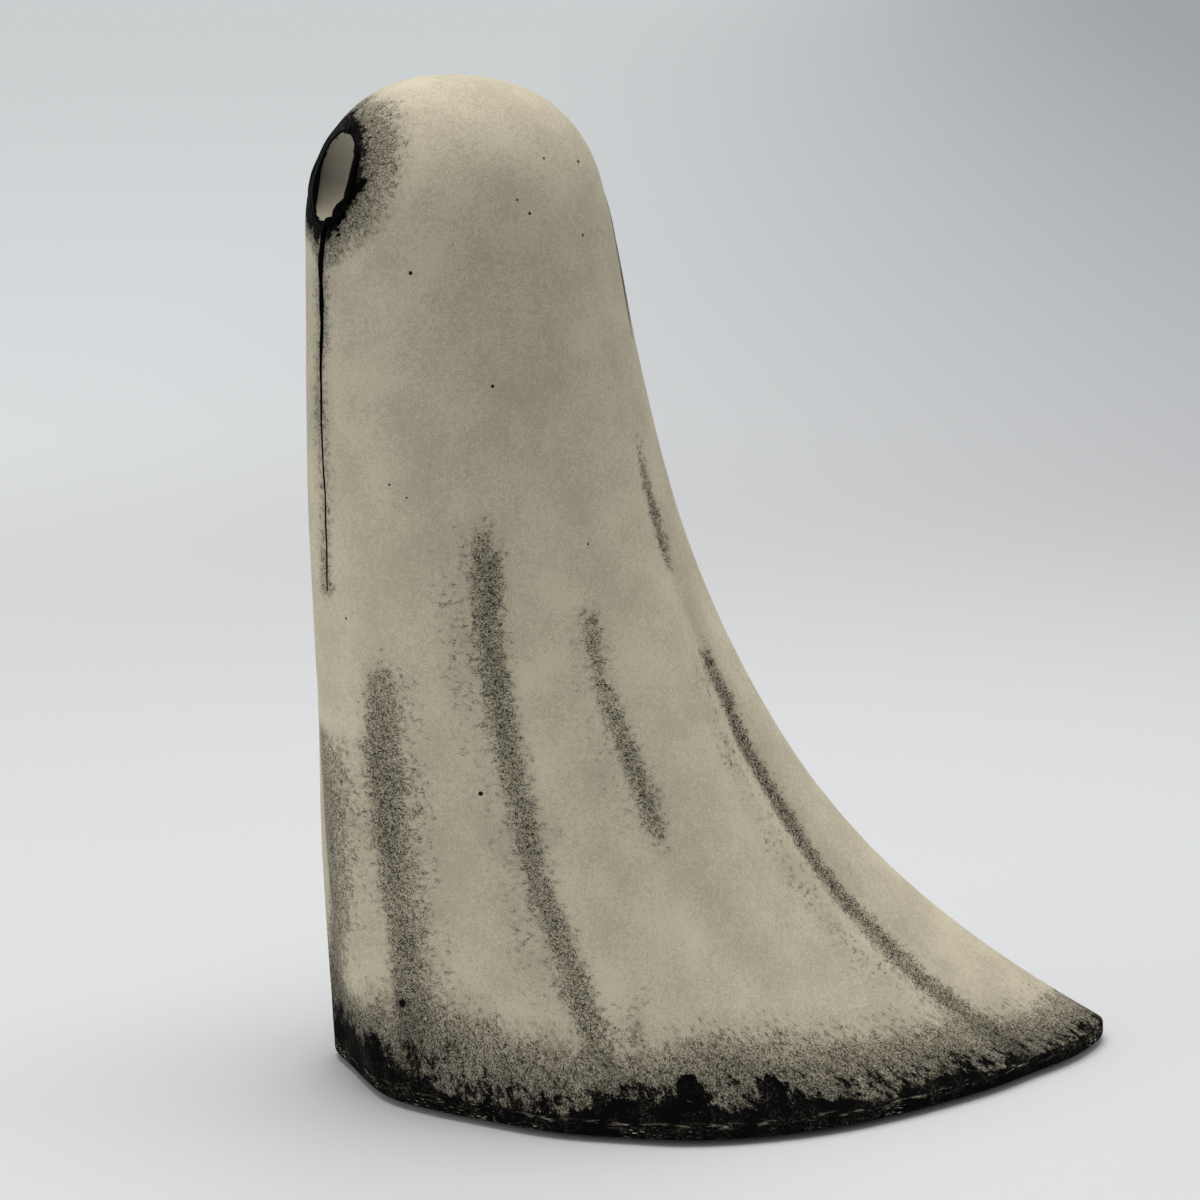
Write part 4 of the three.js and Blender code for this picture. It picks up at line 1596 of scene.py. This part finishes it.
    def tear_tube(self) -> bpy.types.Object:
        """Draws the tear that runs down from the rim.

        Returns:
            The tear, as a mesh.
        """
        course = np.array(self.tear_course)
        steps = np.linspace(0, len(course) - 1, self.tear_steps)
        places, heights, radii = (np.interp(steps, np.arange(len(course)), column) for column in course.T)
        side = self.eye.side.value
        courses = ((self.wander_swells, self.wander_shift, side), (self.tear_swells, self.tear_shift, 0.0))
        wander, uneven = (
            np.array([noise.noise(Vector((height * swells, shift, row))) for height in heights])
            for swells, shift, row in courses
        )
        points = self.eye.form.face((places + self.wander * wander) * side, heights)
        return self.tube(points, radii * (1 + self.unevenness * uneven), False)

    def build(self, material: bpy.types.Material) -> bpy.types.Object:
        """Builds the enamel of one eye and puts it in the frame.

        Args:
            material: Its finish.

        Returns:
            The enamel.
        """
        drops = [self.ball(*blob) for blob in self.blobs]
        piece = join([self.rim_tube(), self.tear_tube(), *drops])
        apply_modifier(piece, "REMESH", mode="VOXEL", voxel_size=self.voxel * MM, use_smooth_shade=True)
        apply_modifier(piece, "SMOOTH", factor=self.smoothing, iterations=self.smoothings)
        side = self.eye.side.name.lower()
        finish_piece(piece, f"{side}_rim_and_tear", material, "black_enamel", f"{side}_eye_enamel")
        return piece


@dataclass
class FeltPads:
    """The felt pads under the flat underside."""

    nodes: tuple[str, ...] = ("felt_pad_front_left", "felt_pad_front_right", "felt_pad_side_left",
                              "felt_pad_side_right", "felt_pad_tail")
    inset: float = 0.06
    sides: int = 96
    edge: float = 0.14
    edge_steps: int = 3
    fray: float = 0.06
    fray_scale: float = 1.3
    fray_shift: float = 9.0
    smooth_angle: float = 50.0

    def build(self, material: bpy.types.Material) -> None:
        """Builds a pad in each node's place.

        Args:
            material: Their finish.
        """
        for number, node in enumerate(self.nodes):
            low, high = (np.array(corner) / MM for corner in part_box(node))
            middle, size = (low + high) / 2, high - low
            radius = (size[0] / 2 - self.inset) * MM
            depth = size[2] * MM
            piece = add_shape(bpy.ops.mesh.primitive_cylinder_add, vertices=self.sides, radius=radius, depth=depth)
            edit_all(piece, bpy.ops.mesh.bevel, offset=self.edge * MM, segments=self.edge_steps, affect="EDGES")
            places = corners(piece)
            for i, place in enumerate(places):
                radial = Vector((place[0], place[1], 0.0))
                shift = Vector((0, 0, number * self.fray_shift))
                push = noise.noise(Vector(place) * self.fray_scale + shift) * self.fray
                places[i, :2] += np.array(radial.normalized()[:2]) * push
            move_corners(piece, places + middle)
            only_select(piece)
            bpy.ops.object.shade_smooth_by_angle(angle=math.radians(self.smooth_angle))
            finish_piece(piece, f"{node}_dressed", material, "black_felt", node)


@dataclass(frozen=True)
class Softbox:
    """One large soft lamp that faces the figure.

    Side is its distance to the camera's right of the figure and away its distance behind it, in metres.
    Its size is the side of its square face, and its power is in watts.
    """

    name: str
    side: float
    away: float
    height: float
    size: float
    power: float
    colour: tuple[float, float, float]


@dataclass
class Studio:
    """The pale sweep, the soft lamps and the camera, in metres.

    The floor near the figure is lit paper, and farther off it shows an even pale tone, from near to far.
    The tone is shaded towards the camera's right, where start and spread give each edge of the shade as
    its growth with the distance and its value at the figure.
    """

    azimuth: float = 81.097
    elevation: float = 12.0
    distance: float = 0.48
    aim: tuple[float, float, float] = (-0.00279, -0.01798, 0.07205)
    lens: float = 96.192
    sensor: float = 36.0
    clip: tuple[float, float] = (0.01, 20.0)
    floor_reach: float = 14.0
    floor_sides: int = 128
    paper: tuple[float, ...] = (0.66, 0.665, 0.675, 1.0)
    paper_grain: float = 900.0
    paper_bump: tuple[float, float] = (0.1, 0.0001)
    paper_roughness: float = 0.9
    pale_near: tuple[float, ...] = (0.76, 0.77, 0.785, 1.0)
    pale_far: tuple[float, ...] = (0.588, 0.62, 0.628, 1.0)
    lit_range: tuple[float, float] = (0.2, 0.65)
    pale_range: tuple[float, float] = (0.22, 5.0)
    shaded: tuple[float, ...] = (0.6, 0.6, 0.61, 1.0)
    shade_start: tuple[float, float] = (-0.043, 0.3)
    shade_spread: tuple[float, float] = (0.093, 0.65)
    shade_reach: float = 6.0
    room: tuple[float, ...] = (0.955, 0.985, 1.0, 1.0)
    room_strength: float = 0.36
    lamp_aim: float = 0.07
    softboxes: tuple[Softbox, ...] = (
        Softbox("overhead_softbox", -0.03, 0.03, 0.85, 0.6, 5.8, (1.0, 0.995, 0.985)),
        Softbox("left_softbox", -0.8, -0.25, 0.14, 0.6, 2.4, (1.0, 1.0, 1.0)),
        Softbox("right_softbox", 0.95, 0.2, 0.4, 0.7, 1.3, (1.0, 0.99, 0.97)),
    )

    def axes(self) -> tuple[Vector, Vector, Vector]:
        """Gives the camera's right, up and back directions.

        Returns:
            Three unit vectors.
        """
        turn, rise = math.radians(self.azimuth), math.radians(self.elevation)
        back = Vector((math.sin(turn) * math.cos(rise), -math.cos(turn) * math.cos(rise), math.sin(rise)))
        right = Vector((math.cos(turn), math.sin(turn), 0.0))
        return right, back.cross(right), back

    def camera(self) -> None:
        """Places the camera at the photograph's viewing angle."""
        right, up, back = self.axes()
        data = bpy.data.cameras.new("portrait_lens")
        data.lens = self.lens
        data.sensor_width = self.sensor
        data.clip_start, data.clip_end = self.clip
        data.dof.use_dof = False
        camera = bpy.data.objects.new("portrait_camera", data)
        bpy.context.scene.collection.objects.link(camera)
        turned = Matrix((right, up, back)).transposed().to_4x4()
        camera.matrix_world = Matrix.Translation(Vector(self.aim) + back * self.distance) @ turned
        bpy.context.scene.camera = camera

    def sweep(self) -> None:
        """Lays the wide pale floor, which fades into an even backdrop far from the figure."""
        disc = {"vertices": self.floor_sides, "radius": self.floor_reach, "fill_type": "NGON"}
        floor = add_shape(bpy.ops.mesh.primitive_circle_add, **disc)
        floor.rotation_euler.z = math.radians(self.azimuth)
        floor.name = "pale_floor"
        material, board = new_material("pale_paper")
        place = board.add("ShaderNodeTexCoord").outputs["Object"]
        across = board.add("ShaderNodeSeparateXYZ", {0: place}).outputs[0]
        away = board.add("ShaderNodeVectorMath", {0: place}, operation="LENGTH").outputs["Value"]
        grain = board.bump(*self.paper_bump, board.noise(place, self.paper_grain, 3.0))
        inputs = {"Base Color": self.paper, "Roughness": self.paper_roughness, "Normal": grain}
        paper = board.add("ShaderNodeBsdfPrincipled", inputs)
        near, far = (math.log10(reach) for reach in self.pale_range)
        tone = board.mix(board.eased(board.math("LOGARITHM", away, 10.0), near, far), self.pale_near, self.pale_far)
        edge = board.math("ADD", board.math("MULTIPLY_ADD", away, *self.shade_start), across)
        spread = board.math("DIVIDE", edge, board.math("MULTIPLY_ADD", away, *self.shade_spread))
        shade = board.product(board.eased(spread, 0.0, 1.0), board.eased(away, self.floor_reach, self.shade_reach))
        pale = board.add("ShaderNodeEmission", {"Color": board.shade(shade, tone, self.shaded), "Strength": 1.0})
        seen = board.product(self.seen(board), board.eased(away, *self.lit_range))
        mixed = board.add("ShaderNodeMixShader", {0: seen, 1: paper.outputs[0], 2: pale.outputs[0]})
        board.add("ShaderNodeOutputMaterial", {"Surface": mixed.outputs[0]})
        floor.data.materials.append(material)

    @staticmethod
    def seen(board: NodeBoard) -> bpy.types.NodeSocket:
        """Tells the rays that show a surface from those that light it.

        Args:
            board: The board of the material or world.

        Returns:
            A value of 1 for the rays that show it.
        """
        rays = board.add("ShaderNodeLightPath").outputs
        mirrored = board.math("MAXIMUM", rays["Is Glossy Ray"], rays["Is Transmission Ray"])
        return board.math("MAXIMUM", rays["Is Camera Ray"], mirrored)

    def lamp(self, softbox: Softbox) -> None:
        """Hangs one lamp, turned to the middle of the figure.

        Args:
            softbox: The lamp.
        """
        data = bpy.data.lights.new(softbox.name, "AREA")
        data.shape = "SQUARE"
        data.size = softbox.size
        data.energy = softbox.power
        data.color = softbox.colour
        lamp = bpy.data.objects.new(softbox.name, data)
        bpy.context.scene.collection.objects.link(lamp)
        right, _, back = self.axes()
        behind = -Vector((back.x, back.y, 0.0)).normalized()
        place = right * softbox.side + behind * softbox.away + Vector((0.0, 0.0, softbox.height))
        turned = (place - Vector((0.0, 0.0, self.lamp_aim))).to_track_quat("Z", "Y").to_matrix().to_4x4()
        lamp.matrix_world = Matrix.Translation(place) @ turned

    def world(self) -> None:
        """Fills the room with soft light."""
        world = bpy.data.worlds.new("soft_room")
        world.use_nodes = True
        world.node_tree.nodes.clear()
        board = NodeBoard(world.node_tree)
        light = board.add("ShaderNodeBackground", {"Color": self.room, "Strength": self.room_strength})
        pale = board.add("ShaderNodeBackground", {"Color": self.pale_far, "Strength": 1.0})
        mixed = board.add("ShaderNodeMixShader", {0: self.seen(board), 1: light.outputs[0], 2: pale.outputs[0]})
        board.add("ShaderNodeOutputWorld", {"Surface": mixed.outputs[0]})
        bpy.context.scene.world = world

    def build(self) -> None:
        """Sets up the whole studio."""
        self.camera()
        self.sweep()
        self.world()
        for softbox in self.softboxes:
            self.lamp(softbox)
        bpy.context.scene.view_settings.view_transform = "Standard"
        LOG.info("studio ready")


def main() -> None:
    """Dresses the figurine."""
    logging.basicConfig(level=logging.INFO, format="%(message)s")
    studio = Studio()
    studio.build()
    form = SheetForm()
    eyes = (EyePlace(form, Side.LEFT), EyePlace(form, Side.RIGHT))
    groups = ShaderGroups()
    GhostCasting(form, eyes, PaintPlan(form, eyes)).build(CastFinish().build(groups))
    enamel = EnamelFinish().build(groups)
    for eye in eyes:
        EyeEnamel(eye).build(enamel)
    FeltPads().build(FeltFinish().build(groups))


if __name__ == "__main__":
    main()
